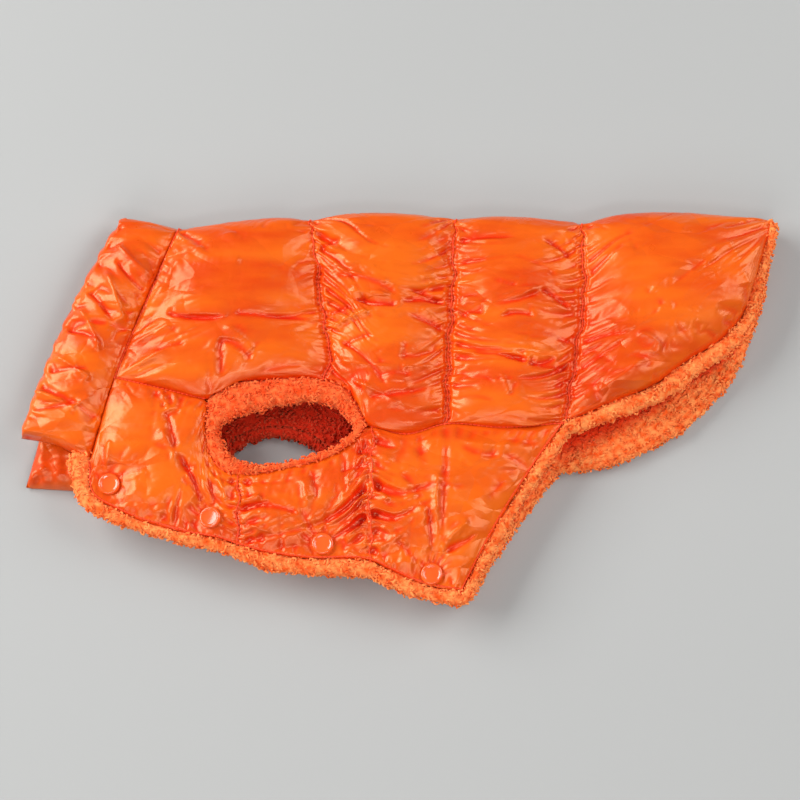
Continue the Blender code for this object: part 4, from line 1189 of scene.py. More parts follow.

# %% [markdown]
# ### Snap caps and thread
#
# The caps are moulded plastic in the coat's colour: a clean gloss with a little wear in it. The thread
# is matt, and a very fine noise stands for its twist: it bumps the thread and paints its low parts
# darker, as shade.

# %% Cap plastic and sewing thread
def make_cap_plastic():
    material, tree, shader = new_material("cap_enamel")
    place = own_place(tree)
    tone = noise(tree, place, 90.0, 2.0)
    feed(tree, shader, {
        "Base Color": ramp(tree, tone, [(0.3, (0.84, 0.085, 0.008, 1)), (0.7, (0.92, 0.12, 0.014, 1))]),
        "Roughness": ramp(tree, noise(tree, place, 900.0, 2.0), [(0.3, 0.14), (0.8, 0.24)]),
        "Specular IOR Level": 0.7,
        "Coat Weight": 0.3,
    })
    return material


def make_thread():
    material, tree, shader = new_material("sewing_thread")
    place = own_place(tree)
    twist = noise(tree, place, 2600.0, 2.0)
    feed(tree, shader, {
        # painted shade: the twist's low parts are darker
        "Base Color": ramp(tree, twist, [(0.3, (0.75, 0.035, 0.003, 1)), (0.7, (0.92, 0.08, 0.008, 1))]),
        "Normal": bump(tree, twist, 0.0001, 0.5),
        "Roughness": 0.7,
    })
    return material


CAP = make_cap_plastic()
THREAD = make_thread()
print("materials:", [m.name for m in (NYLON, FLEECE, CAP, THREAD)])

# %% [markdown]
# ### What each piece stands for
#
# Each piece takes the place of one solid of the CAD part and rides its one body.

# %% Body and solid of a piece
def stands_for(piece, solid=None):
    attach(piece, "root")
    if solid:
        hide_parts(solid)

# %% [markdown]
# ## The quilted back
#
# Four sections are sewn across the back. Each is a hairpin: its near side lies on top, it folds over
# the spine, and its far side lies on the table, pressed flat by the coat's weight. The table says how
# strongly each is gathered, how much larger than its place it is cut, and how high its spine stands.

# %% Sections of the back
BACK_LOFT = 8.5
FOLD_LOFT = 0.55  # share of the loft that is left over the spine fold
LOFT_AT_FOLD = 0.3  # length of rib over which it goes down to that
HEM_REACH = 16.0
SEWN_VISIBLE = 1.9
RUCHED_BAND = 1.4  # width beside a channel that its own stitches hold down
SPINE_RUN = 40.0  # how far the pattern runs on round the spine fold
TABLE = 0.02  # heights of the lowest and of the settled points above the table
ABOVE_TABLE = 0.05
LEAST_COVER = 0.6  # of a top panel over the lining's seam
SECTIONS = (
    # node, first rib, last rib, front_gather, rear_gather, extra_along, extra_across, spine_swell
    ("back_shoulder", "neck seam", "channel 1", 0.45, 0.5, 0.09, 0.05, 0.0),
    ("back_mid_front", "channel 1", "channel 2", 1.25, 1.0, 0.14, 0.05, 0.6),
    ("back_mid_rear", "channel 2", "channel 3", 1.0, 1.05, 0.14, 0.05, 0.2),
    ("back_tail", "channel 3", "tail edge", 1.0, 0.12, 0.09, 0.04, 3.2),
)


def fold_share(p):
    return 1 - (1 - FOLD_LOFT) * ease((p - 1 + LOFT_AT_FOLD) / LOFT_AT_FOLD)


def channel_sway(channel, over):
    sway = seam_sway(over, 3.0 * BACK.place(channel))
    if channel == "channel 1":
        sway = sway + 4.5 * np.exp(-(((over - 36.0) / 17.0) ** 2))
    return sway


def round_fold_of(near_rows, angles):
    return np.concatenate([np.zeros(len(near_rows)), angles, [math.pi]]) / math.pi


print("back sections:", [row[0] for row in SECTIONS])

# %% [markdown]
# A section is made in steps, and its measures are kept in one object. First come its columns and rows,
# which stop a little before the fold, where the turn's own rows take over.

# %% Plan of a section
def plan_section(row):
    s = SimpleNamespace()
    s.node, s.first, s.last, s.front_gather, s.rear_gather, s.extra_along, s.extra_across, spine_swell = row
    s.begin = BACK.place(s.first)
    s.end = BACK.place(s.last)
    s.at_neck = s.first == "neck seam"
    s.hem = s.last == "tail edge"
    top, near, _, _ = BACK.at([s.begin, s.end])
    s.wide = np.linalg.norm(near[1] - near[0])
    s.narrow = np.linalg.norm(top[1] - top[0])
    s.u = spread((s.wide + s.narrow) / 2, 1.9)
    s.ends = list(BACK.at(s.begin + (s.end - s.begin) * s.u))
    s.ends[0][:, 1] += spine_swell * np.sin(math.pi * s.u**0.8) ** 0.7
    # a hundredth of a millimetre between this section and the next
    side = 1 - 2 * s.u
    shift = SEAM_STEP * side * (np.abs(side) == 1) * (1 - s.hem * (s.u == 1))
    for place in s.ends[:3]:
        place[:, 0] += shift
    length = np.linalg.norm(s.ends[0] - s.ends[1], axis=1).mean()
    rows = spread(length, 1.4)
    s.near_rows = np.append(rows[rows < 1 - 3.0 / length], 1.0)
    s.angles = turns_of(28)
    return s

# %% [markdown]
# The padding is thick in the middle of a section and thin at its seams.

# %% Padding of a section
def distances(s, p):
    """From the columns to the front and rear seams, and the section's width, at a place p of the ribs."""
    width = s.wide + (s.narrow - s.wide) * p
    return s.u * width, (1 - s.u) * width, width


def padding(s, p):
    to_front, to_rear, width = distances(s, p)
    reach = width * (0.5 - 0.22 * ease((p - 0.75) / 0.25))
    past_front = np.maximum(to_front - RUCHED_BAND * (p < 1), 0.0)
    if s.hem:
        return rise(past_front, reach) * rise(to_rear, HEM_REACH)
    past_rear = np.maximum(to_rear - RUCHED_BAND * (p < 1), 0.0)
    return rise(np.minimum(past_front, past_rear), reach)


def sketch_section(s):

    def near_z(p):
        loft = BACK_LOFT * padding(s, p) * rise(p * 100.0, HEM_REACH) * fold_share(p)
        return NEAR_SHELL_Z + SEWN_VISIBLE + loft

    table_z = level(len(s.u), 0.0)
    s.base = hairpin(s.ends, 0.0, near_z, table_z, s.near_rows, s.angles, [1.0])
    s.along = grid_along(s.base)
    places = np.concatenate([s.near_rows, np.ones(len(s.angles) + 1)])
    s.to_front, s.to_rear, _ = [np.array(v) for v in zip(*[distances(s, p) for p in places])]
    s.edge = np.array([padding(s, p) * rise(p * 100.0, HEM_REACH) for p in places])
    s.round_fold = round_fold_of(s.near_rows, s.angles)
    s.fading = (1 - ease((s.round_fold - 0.55) / 0.35))[:, None]
    s.x = s.base[..., 0].copy()
    s.over = s.base[..., 1] + SPINE_RUN * s.round_fold[:, None]

# %% [markdown]
# Then come the gathers, the channels' wander and the placed folds, and the cloth settles. The relief
# fades out round the spine, because the far side is pressed flat.

# %% Relief and settling of a section
def settle_section(s):
    relief = gather_relief(s.along, s.to_front, s.front_gather, 1.0 + 2 * s.begin)
    relief = relief + gather_relief(s.along, s.to_rear, s.rear_gather, 2.0 + 3 * s.end)
    relief = relief + fold_relief(s.x, s.over) * np.sqrt(s.edge)
    relief = relief + 0.7 * soft_wrinkles(s.x, s.over, 5) * np.sqrt(s.edge)
    if not s.at_neck:
        s.base[..., 0] += channel_sway(s.first, s.over) * np.exp(-s.to_front / 9.0)
    if not s.hem:
        s.base[..., 0] += channel_sway(s.last, s.over) * np.exp(-s.to_rear / 9.0)
    grid = s.base + normals_of(s.base) * (relief * s.fading)[..., None]
    if s.at_neck:
        grid[:, 0] = on_neck_seam(grid[:, 0], 1)
    if not s.hem:
        grid[0] = sewn(grid[0], "near", True)
    grid = settle(s.node, grid, border_of(grid), s.extra_along, s.extra_across, 6.0)
    on_top = (s.round_fold < 0.3)[:, None]
    least = np.where(on_top, NEAR_SHELL_Z + LEAST_COVER, ABOVE_TABLE)
    grid[..., 2] = np.maximum(grid[..., 2], least)
    return grid

# %% [markdown]
# The settled grid is made twice as fine, and the sharpest part of the folds goes on top: narrow creases,
# fine gathers, crumples, and the tiny pleats that stand along the stitches.

# %% Fine detail of a section
def refine_section(s, grid):
    fine = finer(grid)
    s.fine_x, s.fine_over, s.fine_along = finer_measures(s.x, s.over, s.along)
    s.fine_front, s.fine_rear, s.fine_edge = finer_measures(s.to_front, s.to_rear, s.edge * s.fading)
    detail = fold_relief(s.fine_x, s.fine_over, sharp=True) * 0.7
    detail = detail + gather_relief(s.fine_along, s.fine_front, 0.45 * s.front_gather, 1.0 + 2 * s.begin)
    detail = detail + gather_relief(s.fine_along, s.fine_rear, 0.45 * s.rear_gather, 2.0 + 3 * s.end)
    detail = detail + 0.6 * crumples(s.fine_x, s.fine_over, 5)
    keep = np.sqrt(np.clip(s.fine_edge, 0, 1))
    keep[border_of(keep)] = 0
    fine = fine + normals_of(fine) * (detail * keep)[..., None]
    ruched = np.zeros(fine.shape[:2])
    if not s.at_neck:
        ruched += ruching(s.fine_along, s.fine_front, 20 * s.begin)
    if not s.hem:
        ruched += ruching(s.fine_along, s.fine_rear, 20 * s.end)
    lying = 1 - ease((s.fine_over - 108.0) / 8.0)
    fine[..., 2] += ruched * lying * ease(s.fine_along / 3.0)
    fine[..., 2] = np.maximum(fine[..., 2], ABOVE_TABLE)
    return fine

# %% [markdown]
# The far side lies flat on the table. It needs only a few rows, from the fold's end down to the far side
# seam. The inside of the wall is plain, because the lining hides it.

# %% Far side and inside of a section
FLAT_ROWS = (0.04, 0.12, 0.3, 0.5, 0.7, 0.85, 0.93, 1.0)


def add_far_side(s, fine):
    u = finer_columns(s.u, fine)
    ends = BACK.at(s.begin + (s.end - s.begin) * u)
    low = np.column_stack([ends[2], np.zeros(len(u))])
    if not s.hem:
        low = sewn(low, "far", True)
    rows = np.array([fine[-1] + (low - fine[-1]) * share for share in FLAT_ROWS])
    rows[..., 2] = TABLE
    if s.at_neck:
        rows[:, 0] = on_neck_seam(rows[:, 0], 1)
    return np.concatenate([fine, rows])


def section_inside(s):
    u = np.linspace(0, 1, 13)
    to_seam = np.minimum(u, 1 - u) * s.narrow
    inset = SEWN + BACK_LOFT * FOLD_LOFT * 0.6 * rise(to_seam, s.narrow / 2)
    heights = level(len(u), NEAR_SHELL_Z), level(len(u), FAR_SHELL)
    rows = np.linspace(0, 1, 10), turns_of(7), np.linspace(0, 1, 5)
    inner = hairpin(BACK.at(s.begin + (s.end - s.begin) * u), inset, *heights, *rows)
    if s.at_neck:
        inner[:, 0] = on_neck_seam(inner[:, 0], 1)
    if not s.hem:
        inner[0] = sewn(inner[0], "near", True)
        inner[-1] = sewn(inner[-1], "far", True)
    return inner

# %% [markdown]
# Last, the section is shaded in its creases and beside its channels, and closed to a wall.

# %% The finished sections
def section_lines(s, outer):
    rows = len(s.fine_x)
    lines = np.zeros(outer.shape[:2])
    lines[:rows] = creases(s.fine_x, s.fine_over) * np.clip(2 * s.fine_edge, 0.2, 1)
    # painted shade beside the channels, in patches along them and more of it lower down
    seam_shade_patches = waves(s.fine_along, 19.0, 7.0 * s.begin) * ease((75.0 - s.fine_over) / 60.0)
    for quilted, to_seam in ((not s.at_neck, s.fine_front), (not s.hem, s.fine_rear)):
        shaded = quilted * (0.25 + 0.5 * seam_shade_patches) * np.exp(-to_seam / 3.6)
        lines[:rows] = np.maximum(lines[:rows], shaded)
    return lines


def make_section(row):
    s = plan_section(row)
    sketch_section(s)
    fine = refine_section(s, settle_section(s))
    outer = add_far_side(s, fine)
    shade = hollows(outer, 0.5, section_lines(s, outer))
    made = closed_wall("quilt_" + s.node, outer, section_inside(s), NYLON, shade)
    stands_for(made, s.node)
    return fine


back = {row[0]: make_section(row) for row in SECTIONS}

# %% [markdown]
# ## The collar
#
# The stand collar is a folded strip, gathered at its outer edge and at the neck seam, and open at the
# throat. It is made like a section of the back, with a rounded outer edge in place of a seam.

# %% Plan and padding of the collar
COLLAR_WIDTH = 46.0
COLLAR_LOFT = 6.0
COLLAR_EDGE = 6.0  # height of the collar's rounded outer edge


def edge_rounding(to_edge, to_seam):
    rounding = COLLAR_EDGE * np.sqrt(np.clip(1 - (1 - np.clip(to_edge / 3.5, 0, 1)) ** 2, 0, 1))
    beside_seam = np.maximum(rounding - 0.6 * (2.5 - to_seam), 4.5)
    return np.where(to_seam < 2.5, beside_seam, rounding)


def sketch_collar():
    s = SimpleNamespace()
    s.u = spread(COLLAR_WIDTH, 1.7)
    ends = COLLAR.at(s.u)
    s.length = np.linalg.norm(ends[0] - ends[1], axis=1).mean()
    rows = spread(s.length, 1.5)
    near_rows = np.append(rows[rows < 1 - 3.0 / s.length], 1.0)
    angles = turns_of(24)
    s.to_edge = s.u * COLLAR_WIDTH
    s.to_seam = (1 - s.u) * COLLAR_WIDTH
    rounding = edge_rounding(s.to_edge, s.to_seam)
    padding_over = rise(np.minimum(s.to_edge, s.to_seam), COLLAR_WIDTH / 2)

    def near_z(p):
        loft = COLLAR_LOFT * padding_over * rise(p * 140.0, 12.0) * fold_share(p)
        return NEAR_LINING_Z + SEAM_GAP + np.maximum(rounding * rise(p * 140.0, 3.5), 1.0) + loft

    s.base = hairpin(ends, 0.0, near_z, level(len(s.u), 0.0), near_rows, angles, [1.0])
    s.along = grid_along(s.base)
    round_fold = round_fold_of(near_rows, angles)[:, None]
    s.fading = 1 - ease((round_fold - 0.6) / 0.35)
    s.over = s.base[..., 1] + SPINE_RUN * round_fold
    return s


print("collar:", COLLAR_WIDTH, "mm wide")

# %% [markdown]
# The gathers at the outer edge also ruffle it: the edge itself runs in and out in plan.

# %% Relief and settling of the collar
def settle_collar(s):
    edge = s.to_edge[None, :]
    seam = s.to_seam[None, :]
    relief = gather_relief(s.along, edge, 0.6, 4.0, 1.7) + gather_relief(s.along, seam, 0.4, 6.0, 1.4)
    folds = fold_relief(s.base[..., 0], s.over) + 0.6 * soft_wrinkles(s.base[..., 0], s.over, 8)
    relief = (relief + folds * 0.9) * np.minimum(1, edge / 4.0 + 0.3)
    grid = s.base + normals_of(s.base) * (relief * s.fading)[..., None]
    ruffle = (0.5 - waves(s.along, 14.0, 4.0)) * np.exp(-edge / 7.0)
    ruffle = ruffle + 0.4 * (0.4 - waves(s.along, 6.5, 9.0)) * np.exp(-edge / 3.0)
    grid[..., 0] -= 2.2 * ruffle
    grid[:, -1] = on_neck_seam(grid[:, -1], -1)
    grid = settle("collar", grid, border_of(grid), 0.12, 0.06, 5.0)
    grid[..., 2] = np.maximum(grid[..., 2], ABOVE_TABLE)
    return grid


def refine_collar(s, grid):
    fine = finer(grid)
    wide = np.ones_like(s.along)
    s.fine_x, s.fine_over, fine_along = finer_measures(s.base[..., 0], s.over, s.along)
    edge, seam, s.fine_fading = finer_measures(s.to_edge * wide, s.to_seam * wide, s.fading * wide)
    detail = fold_relief(s.fine_x, s.fine_over, sharp=True) * 0.9
    detail = detail + gather_relief(fine_along, edge, 0.4, 4.0, 1.7)
    detail = detail + gather_relief(fine_along, seam, 0.3, 6.0, 1.4)
    detail = detail + 0.6 * crumples(s.fine_x, s.fine_over, 8)
    keep = s.fine_fading * np.clip(edge / 3.0, 0.2, 1)
    keep[0] = keep[:, -1] = 0
    fine = fine + normals_of(fine) * (detail * keep)[..., None]
    fine[..., 2] = np.maximum(fine[..., 2], ABOVE_TABLE)
    return fine


def add_far_collar(s, fine):
    u = finer_columns(s.u, fine)
    low = np.column_stack([COLLAR.at(u)[2], np.zeros(len(u))])
    shares = (0.05, 0.15, 0.35, 0.6, 0.8, 0.93, 1.0)
    rows = np.array([fine[-1] + (low - fine[-1]) * share for share in shares])
    rows[..., 2] = TABLE + np.clip(3.0 - u * COLLAR_WIDTH, 0, 3)
    rows[:, -1] = on_neck_seam(rows[:, -1], -1)
    return np.concatenate([fine, rows])

# %% [markdown]
# The far half of the collar shows a little at the throat, seen from its inside. So that end of the inner
# face gets padding and puckers too, rounded down to its free edges.

# %% Inside of the collar
def collar_inside(length):
    u = np.linspace(0, 1, 40)
    far_rows = np.concatenate([np.linspace(0, 0.7, 5), np.linspace(0.72, 1, 30)])
    heights = level(len(u), NEAR_LINING_Z), level(len(u), FAR_TOP_Z)
    rows = np.linspace(0, 1, 12), turns_of(7), (1 - far_rows)[::-1]
    inner = hairpin(COLLAR.at(u), 6.0, *heights, *rows)
    before = np.zeros(len(inner) - len(far_rows))
    shows = np.concatenate([before, ease((far_rows - 0.74) / 0.1)])[:, None]
    to_end = np.concatenate([before + length, (1 - far_rows) * length])[:, None]
    to_edge = u[None, :] * COLLAR_WIDTH
    x = inner[..., 0]
    y = inner[..., 1]
    soft = rise(to_end, 9.0, 2.0) * rise(to_edge, 8.0, 2.0)
    puff = 3.2 - 4.2 * waves(to_edge + 0.6 * to_end, 11.0, 2.0) * np.exp(-to_end / 16.0)
    puff = puff - 3.0 * waves(to_end - 0.5 * to_edge, 9.0, 3.0) * np.exp(-to_edge / 12.0)
    puff = puff + 1.6 * soft_wrinkles(x, y, 33) + 1.5 * crumples(x, y, 9)
    rounded = FAR_TOP_Z * (soft - 1) * 0.85
    inner[..., 2] += shows * np.maximum(puff * soft + rounded, 0.8 - FAR_TOP_Z)
    inner[:, -1] = on_neck_seam(inner[:, -1], -1)
    return inner

# %% [markdown]
# The collar's wall is closed like a section's, with a shaded line along the neck seam.

# %% The finished collar
def make_collar():
    s = sketch_collar()
    fine = refine_collar(s, settle_collar(s))
    outer = add_far_collar(s, fine)
    lines = np.zeros(outer.shape[:2])
    lines[: len(fine)] = creases(s.fine_x, s.fine_over) * s.fine_fading
    lines[:, -2:] = np.maximum(lines[:, -2:], 0.5)
    inner = collar_inside(s.length)
    made = closed_wall("gathered_collar", outer, inner, NYLON, hollows(outer, 0.0, lines))
    stands_for(made, "collar")


make_collar()

# %% [markdown]
# ## The belly
#
# The near flap hangs from the side seam and the leg hole, and closes over the far panel with four snaps.
# It is bunched on two gather lines and pressed flat under each snap. Its rows run along the whole flap.

# %% Padding of the near belly flap
BELLY_LOFT = 6.5
BELLY_LENGTH = 240.0
BELLY_DEPTH = 70.0
GATHER_LINES = ("gather 1", "gather 2")
SNAP_FLAT = 6.0  # radius that a snap presses flat
SNAP_CLEAR = 5.5  # radius without fine creases


def to_gather(u, place):
    return np.abs(u - BELLY_NEAR.place(place)) * BELLY_LENGTH


def belly_loft(u, v, length):
    loft = BELLY_LOFT * rise(v * length, 24.0, 2.0) * rise((1 - v) * length, 22.0, 2.0)
    loft = loft * rise(u * BELLY_LENGTH, 30.0, 2.0) * rise((1 - u) * BELLY_LENGTH, 26.0, 2.0)
    for place in GATHER_LINES:
        loft = loft * (0.3 + 0.7 * rise(to_gather(u, place), HEM_REACH))
    return loft


def press_snaps(x, y, height):
    for snap_x, snap_y, lean, seat in SNAPS:
        distance = np.hypot(x - snap_x, y - snap_y)
        free = ease((distance - SNAP_FLAT) / 10.0)
        plane = seat + (x - snap_x) * math.tan(math.radians(-lean))
        height = plane + (height - plane) * free
    return height


def flap_rows(ends, v, z):
    length = np.linalg.norm(ends[0] - ends[1], axis=1)
    rows = [down_rib(ends[0], ends[1], ends[3], share * length) for share in v]
    return np.array([np.column_stack([plan, np.full(len(plan), z)]) for plan in rows])


def sew_flap(grid):
    grid[:, 0] = on_neck_seam(grid[:, 0], 1)
    grid[-1] = sewn(grid[-1], "near", False)
    return grid


print("gather lines at", [round(BELLY_NEAR.place(g) * BELLY_LENGTH) for g in GATHER_LINES], "mm")

# %% [markdown]
# The gathers of the flap come from four lines: the two gather lines, the side seam and the snapped edge.

# %% Relief and settling of the near belly flap
def running(points):
    return np.concatenate([[0], np.hypot(*np.diff(points, axis=0).T).cumsum()])[None, :]


def sketch_flap():
    s = SimpleNamespace()
    s.u = spread(BELLY_LENGTH, 1.7)
    ends = BELLY_NEAR.at(s.u)
    s.length = np.linalg.norm(ends[0] - ends[1], axis=1)
    v = 1 - spread(BELLY_DEPTH, 1.5)
    s.base = flap_rows(ends, v, 0.0)
    s.loft = np.array([belly_loft(s.u, share, s.length) for share in v])
    s.edge = np.sqrt(np.minimum(s.loft / BELLY_LOFT, 1.0))
    s.along = v[:, None] * s.length[None, :]
    s.x = s.base[..., 0].copy()
    s.y = s.base[..., 1]
    s.gathers = np.zeros_like(s.x)
    inside = ease(s.along / 6.0) * ease((s.length - s.along) / 6.0)
    for k, place in enumerate(GATHER_LINES):
        distance = to_gather(s.u, place)[None, :] + 0 * s.along
        s.gathers = s.gathers + gather_relief(s.along, distance, 1.6, 11.0 + 4 * k, 1.4) * inside
        s.base[..., 0] += 1.4 * seam_sway(s.along, 5.0 + k) * np.exp(-distance / 9.0) * inside
    flat = 0 * s.along
    s.gathers = s.gathers + gather_relief(running(ends[0]) + flat, s.along, 0.45, 15.0)
    s.gathers = s.gathers + gather_relief(running(ends[1]) + flat, s.length[None, :] - s.along, 0.5, 19.0)
    return s


def settle_flap(s):
    folds = 1.3 * fold_relief(s.x, s.y) + 0.7 * soft_wrinkles(s.x, s.y, 12)
    relief = s.gathers + folds * s.edge + snap_puckers(s.x, s.y)
    height = press_snaps(s.x, s.y, SEWN_VISIBLE + s.loft + relief)
    s.base[..., 2] = NEAR_SHELL_Z + np.maximum(height, 0.7)
    grid = sew_flap(s.base)
    held = border_of(grid)
    for snap_x, snap_y, _, _ in SNAPS:
        held |= np.hypot(s.x - snap_x, s.y - snap_y) < SNAP_FLAT + 0.3
    grid = settle("belly_near", grid, held, 0.1, 0.12, 5.0)
    grid[..., 2] = np.maximum(grid[..., 2], NEAR_SHELL_Z + LEAST_COVER)
    return grid

# %% [markdown]
# As on the back, the sharp creases go on a grid twice as fine. They keep clear of the snaps, where the
# cloth is clamped flat.

# %% Fine detail of the near belly flap
def refine_flap(s, grid):
    fine = finer(grid)
    s.fine_x, s.fine_y, s.fine_edge = finer_measures(s.x, s.y, s.edge)
    gathers, along = finer_measures(s.gathers, s.along)
    detail = fold_relief(s.fine_x, s.fine_y, sharp=True)
    detail = detail + 0.6 * crumples(s.fine_x, s.fine_y, 12) + 0.5 * snap_puckers(s.fine_x, s.fine_y)
    detail = detail * np.clip(s.fine_edge, 0, 1) + 0.6 * gathers
    u = finer_columns(s.u, fine)
    for k, place in enumerate(GATHER_LINES):
        detail = detail + ruching(along, to_gather(u, place), 30.0 + k)
    keep = np.ones(detail.shape)
    for snap_x, snap_y, _, _ in SNAPS:
        away = np.hypot(s.fine_x - snap_x, s.fine_y - snap_y)
        keep *= ease((away - SNAP_CLEAR) / 2.0)
    keep[border_of(keep)] = 0
    fine = fine + normals_of(fine) * (detail * keep)[..., None]
    fine[..., 2] = np.maximum(fine[..., 2], NEAR_SHELL_Z + LEAST_COVER)
    return fine


def make_belly_near():
    s = sketch_flap()
    fine = refine_flap(s, settle_flap(s))
    inner = sew_flap(flap_rows(BELLY_NEAR.at(np.linspace(0, 1, 60)), np.linspace(1, 0, 5), NEAR_SHELL_Z))
    # painted shade in the creases and beside the seams, as on the back
    lines = creases(s.fine_x, s.fine_y) * np.clip(s.fine_edge * 2, 0, 1)
    made = closed_wall("belly_flap", fine, inner, NYLON, hollows(fine, 0.5, lines))
    stands_for(made, "belly_near")
    return fine


belly_grid = make_belly_near()

# %% [markdown]
# ### The far belly panel
#
# The far panel comes down from its side seam, turns up round a soft fold and ends as an underlap below
# the snapped edge. Only the fold shows, so only the fold has gathers.

# %% Far belly panel
LAP_LENGTH = 28.0
NEAR_SHARES = (0.0, 0.3, 0.6, 0.85, 1.0)  # rows before the fold, and after it
LAP_SHARES = (0.0, 0.35, 0.7, 1.0)
UNDERLAP_INSET = 2.5  # how far the shell and what is inside it stay back from the fold
INSIDE_INSET = 3.6


def far_panel(inset, low, high, count, fold_steps, bumps=0.0):
    ends = BELLY_FAR.at(np.linspace(0, 1, count))
    angles = turns_of(fold_steps)
    lap = np.full(count, LAP_LENGTH)
    heights = level(count, low), level(count, high)
    grid = hairpin(ends, inset, *heights, NEAR_SHARES, angles, LAP_SHARES, lap)
    grid[:, 0] = on_neck_seam(grid[:, 0], 1)
    grid[0] = sewn(grid[0], "far", False)
    if bumps:
        out = normals_of(grid)
        first = len(NEAR_SHARES)
        share = np.zeros(len(grid))
        share[first : first + fold_steps] = np.sin(angles)
        along = running(ends[0])
        wave = waves(along, 6.5, 3.0) + 0.6 * waves(along, 13.0, 5.0)
        outward = np.sign(out[first + fold_steps // 2, :, 1].mean())
        grid = grid + outward * out * (bumps * wave * share[:, None])[..., None]
    return grid


def make_belly_far():
    outer = far_panel(UNDERLAP_INSET, TABLE, LAP_TOP_Z, 190, 13, bumps=0.8)
    inner = far_panel(INSIDE_INSET, FAR_SHELL, LAP_SHELL_Z, 60, 5)
    made = closed_wall("belly_underlap", outer, inner, NYLON)
    stands_for(made, "belly_far")


make_belly_far()

# %% [markdown]
# ## The fleece
#
# The lining's backing is a wall of cloth like the shell's. Its pile is thousands of little curls that
# Geometry Nodes scatter: points on the cloth, and one short spiral on each, turned and sized at random.
# Realizing the instances makes them one plain mesh.

# %% Helpers for Geometry Nodes
SOCKETS = {float: "NodeSocketFloat", int: "NodeSocketInt", bool: "NodeSocketBool"}


def new_tree(name, values):
    tree = bpy.data.node_groups.new(name, "GeometryNodeTree")
    face = tree.interface
    face.new_socket("Geometry", in_out="INPUT", socket_type="NodeSocketGeometry")
    for key, value in values.items():
        face.new_socket(key, in_out="INPUT", socket_type=SOCKETS[type(value)]).default_value = value
    face.new_socket("Material", in_out="INPUT", socket_type="NodeSocketMaterial")
    face.new_socket("Geometry", in_out="OUTPUT", socket_type="NodeSocketGeometry")
    return tree, tree.nodes.new("NodeGroupInput").outputs


def finish_tree(tree, geometry, material):
    real = node(tree, "GeometryNodeRealizeInstances", {0: geometry})
    dress = node(tree, "GeometryNodeSetMaterial", {"Geometry": real.outputs[0], "Material": material})
    node(tree, "NodeGroupOutput", {0: dress.outputs["Geometry"]})
    return tree


def set_input(modifier, name, value):
    for item in modifier.node_group.interface.items_tree:
        if item.item_type == "SOCKET" and item.in_out == "INPUT" and item.name == name:
            modifier[item.identifier] = value


def made_real(source, name, tree, settings):
    modifier = source.modifiers.new("nodes", "NODES")
    modifier.node_group = tree
    for key, value in settings.items():
        set_input(modifier, key, value)
    graph = bpy.context.evaluated_depsgraph_get()
    mesh = bpy.data.meshes.new_from_object(source.evaluated_get(graph))
    mesh.name = name
    source.modifiers.remove(modifier)
    return add_to_scene(name, mesh)

# %% [markdown]
# A curl is a spiral with a four-sided strand swept along it: few triangles, because there are thousands.
# Points keep a least distance from each other, and grow where the mesh's "pile" number says so.

# %% A curly pile
def one_curl(tree):
    shape = {"Resolution": 5, "Rotations": 0.85, "Start Radius": 1.0, "End Radius": 0.7, "Height": 0.9}
    spiral = node(tree, "GeometryNodeCurveSpiral", shape)
    strand = node(tree, "GeometryNodeCurvePrimitiveCircle", {"Resolution": 4, "Radius": 0.4})
    inputs = {"Curve": spiral.outputs["Curve"], "Profile Curve": strand.outputs["Curve"], "Fill Caps": True}
    curl = node(tree, "GeometryNodeCurveToMesh", inputs)
    return node(tree, "GeometryNodeSetShadeSmooth", {"Geometry": curl.outputs["Mesh"]}).outputs["Geometry"]


def make_pile_tree():
    values = {"Spacing": 0.0013, "Density": 420000.0, "Curl Radius": 0.001, "Seed": 4, "Keep Cloth": True}
    tree, given = new_tree("curly_pile", values)
    seed = given["Seed"]
    pile = node(tree, "GeometryNodeInputNamedAttribute", {"Name": "pile"}, data_type="FLOAT")
    inputs = {"Mesh": given["Geometry"], "Distance Min": given["Spacing"], "Density Max": given["Density"]}
    inputs.update({"Seed": seed, "Density Factor": pile.outputs["Attribute"]})
    scatter = node(tree, "GeometryNodeDistributePointsOnFaces", inputs, distribute_method="POISSON")
    inputs = {"Min": (-3.14, -3.14, -3.14), "Max": (3.14, 3.14, 3.14), "Seed": seed}
    turn = node(tree, "FunctionNodeRandomValue", inputs, data_type="FLOAT_VECTOR")
    size = node(tree, "FunctionNodeRandomValue", {2: 0.6, 3: 1.25, "Seed": seed}, data_type="FLOAT")
    scaled = node(tree, "ShaderNodeMath", {0: size.outputs[1], 1: given["Curl Radius"]}, operation="MULTIPLY")
    inputs = {"Points": scatter.outputs["Points"], "Instance": one_curl(tree)}
    inputs.update({"Rotation": turn.outputs[0], "Scale": scaled.outputs[0]})
    place = node(tree, "GeometryNodeInstanceOnPoints", inputs)
    inputs = {"Switch": given["Keep Cloth"], "True": given["Geometry"]}
    keep = node(tree, "GeometryNodeSwitch", inputs, input_type="GEOMETRY")
    join = node(tree, "GeometryNodeJoinGeometry", {0: keep.outputs[0]})
    feed(tree, join, {0: place.outputs["Instances"]})
    return finish_tree(tree, join.outputs[0], given["Material"])


PILE = make_pile_tree()
print("pile tree:", len(PILE.nodes), "nodes")

# %% [markdown]
# A piece's pile is grown by running the tree on it and keeping the result. Curls that would dip into the
# table are flattened on it, as the coat's weight does.

# %% Growing the pile
CURL_RADIUS = 0.00145


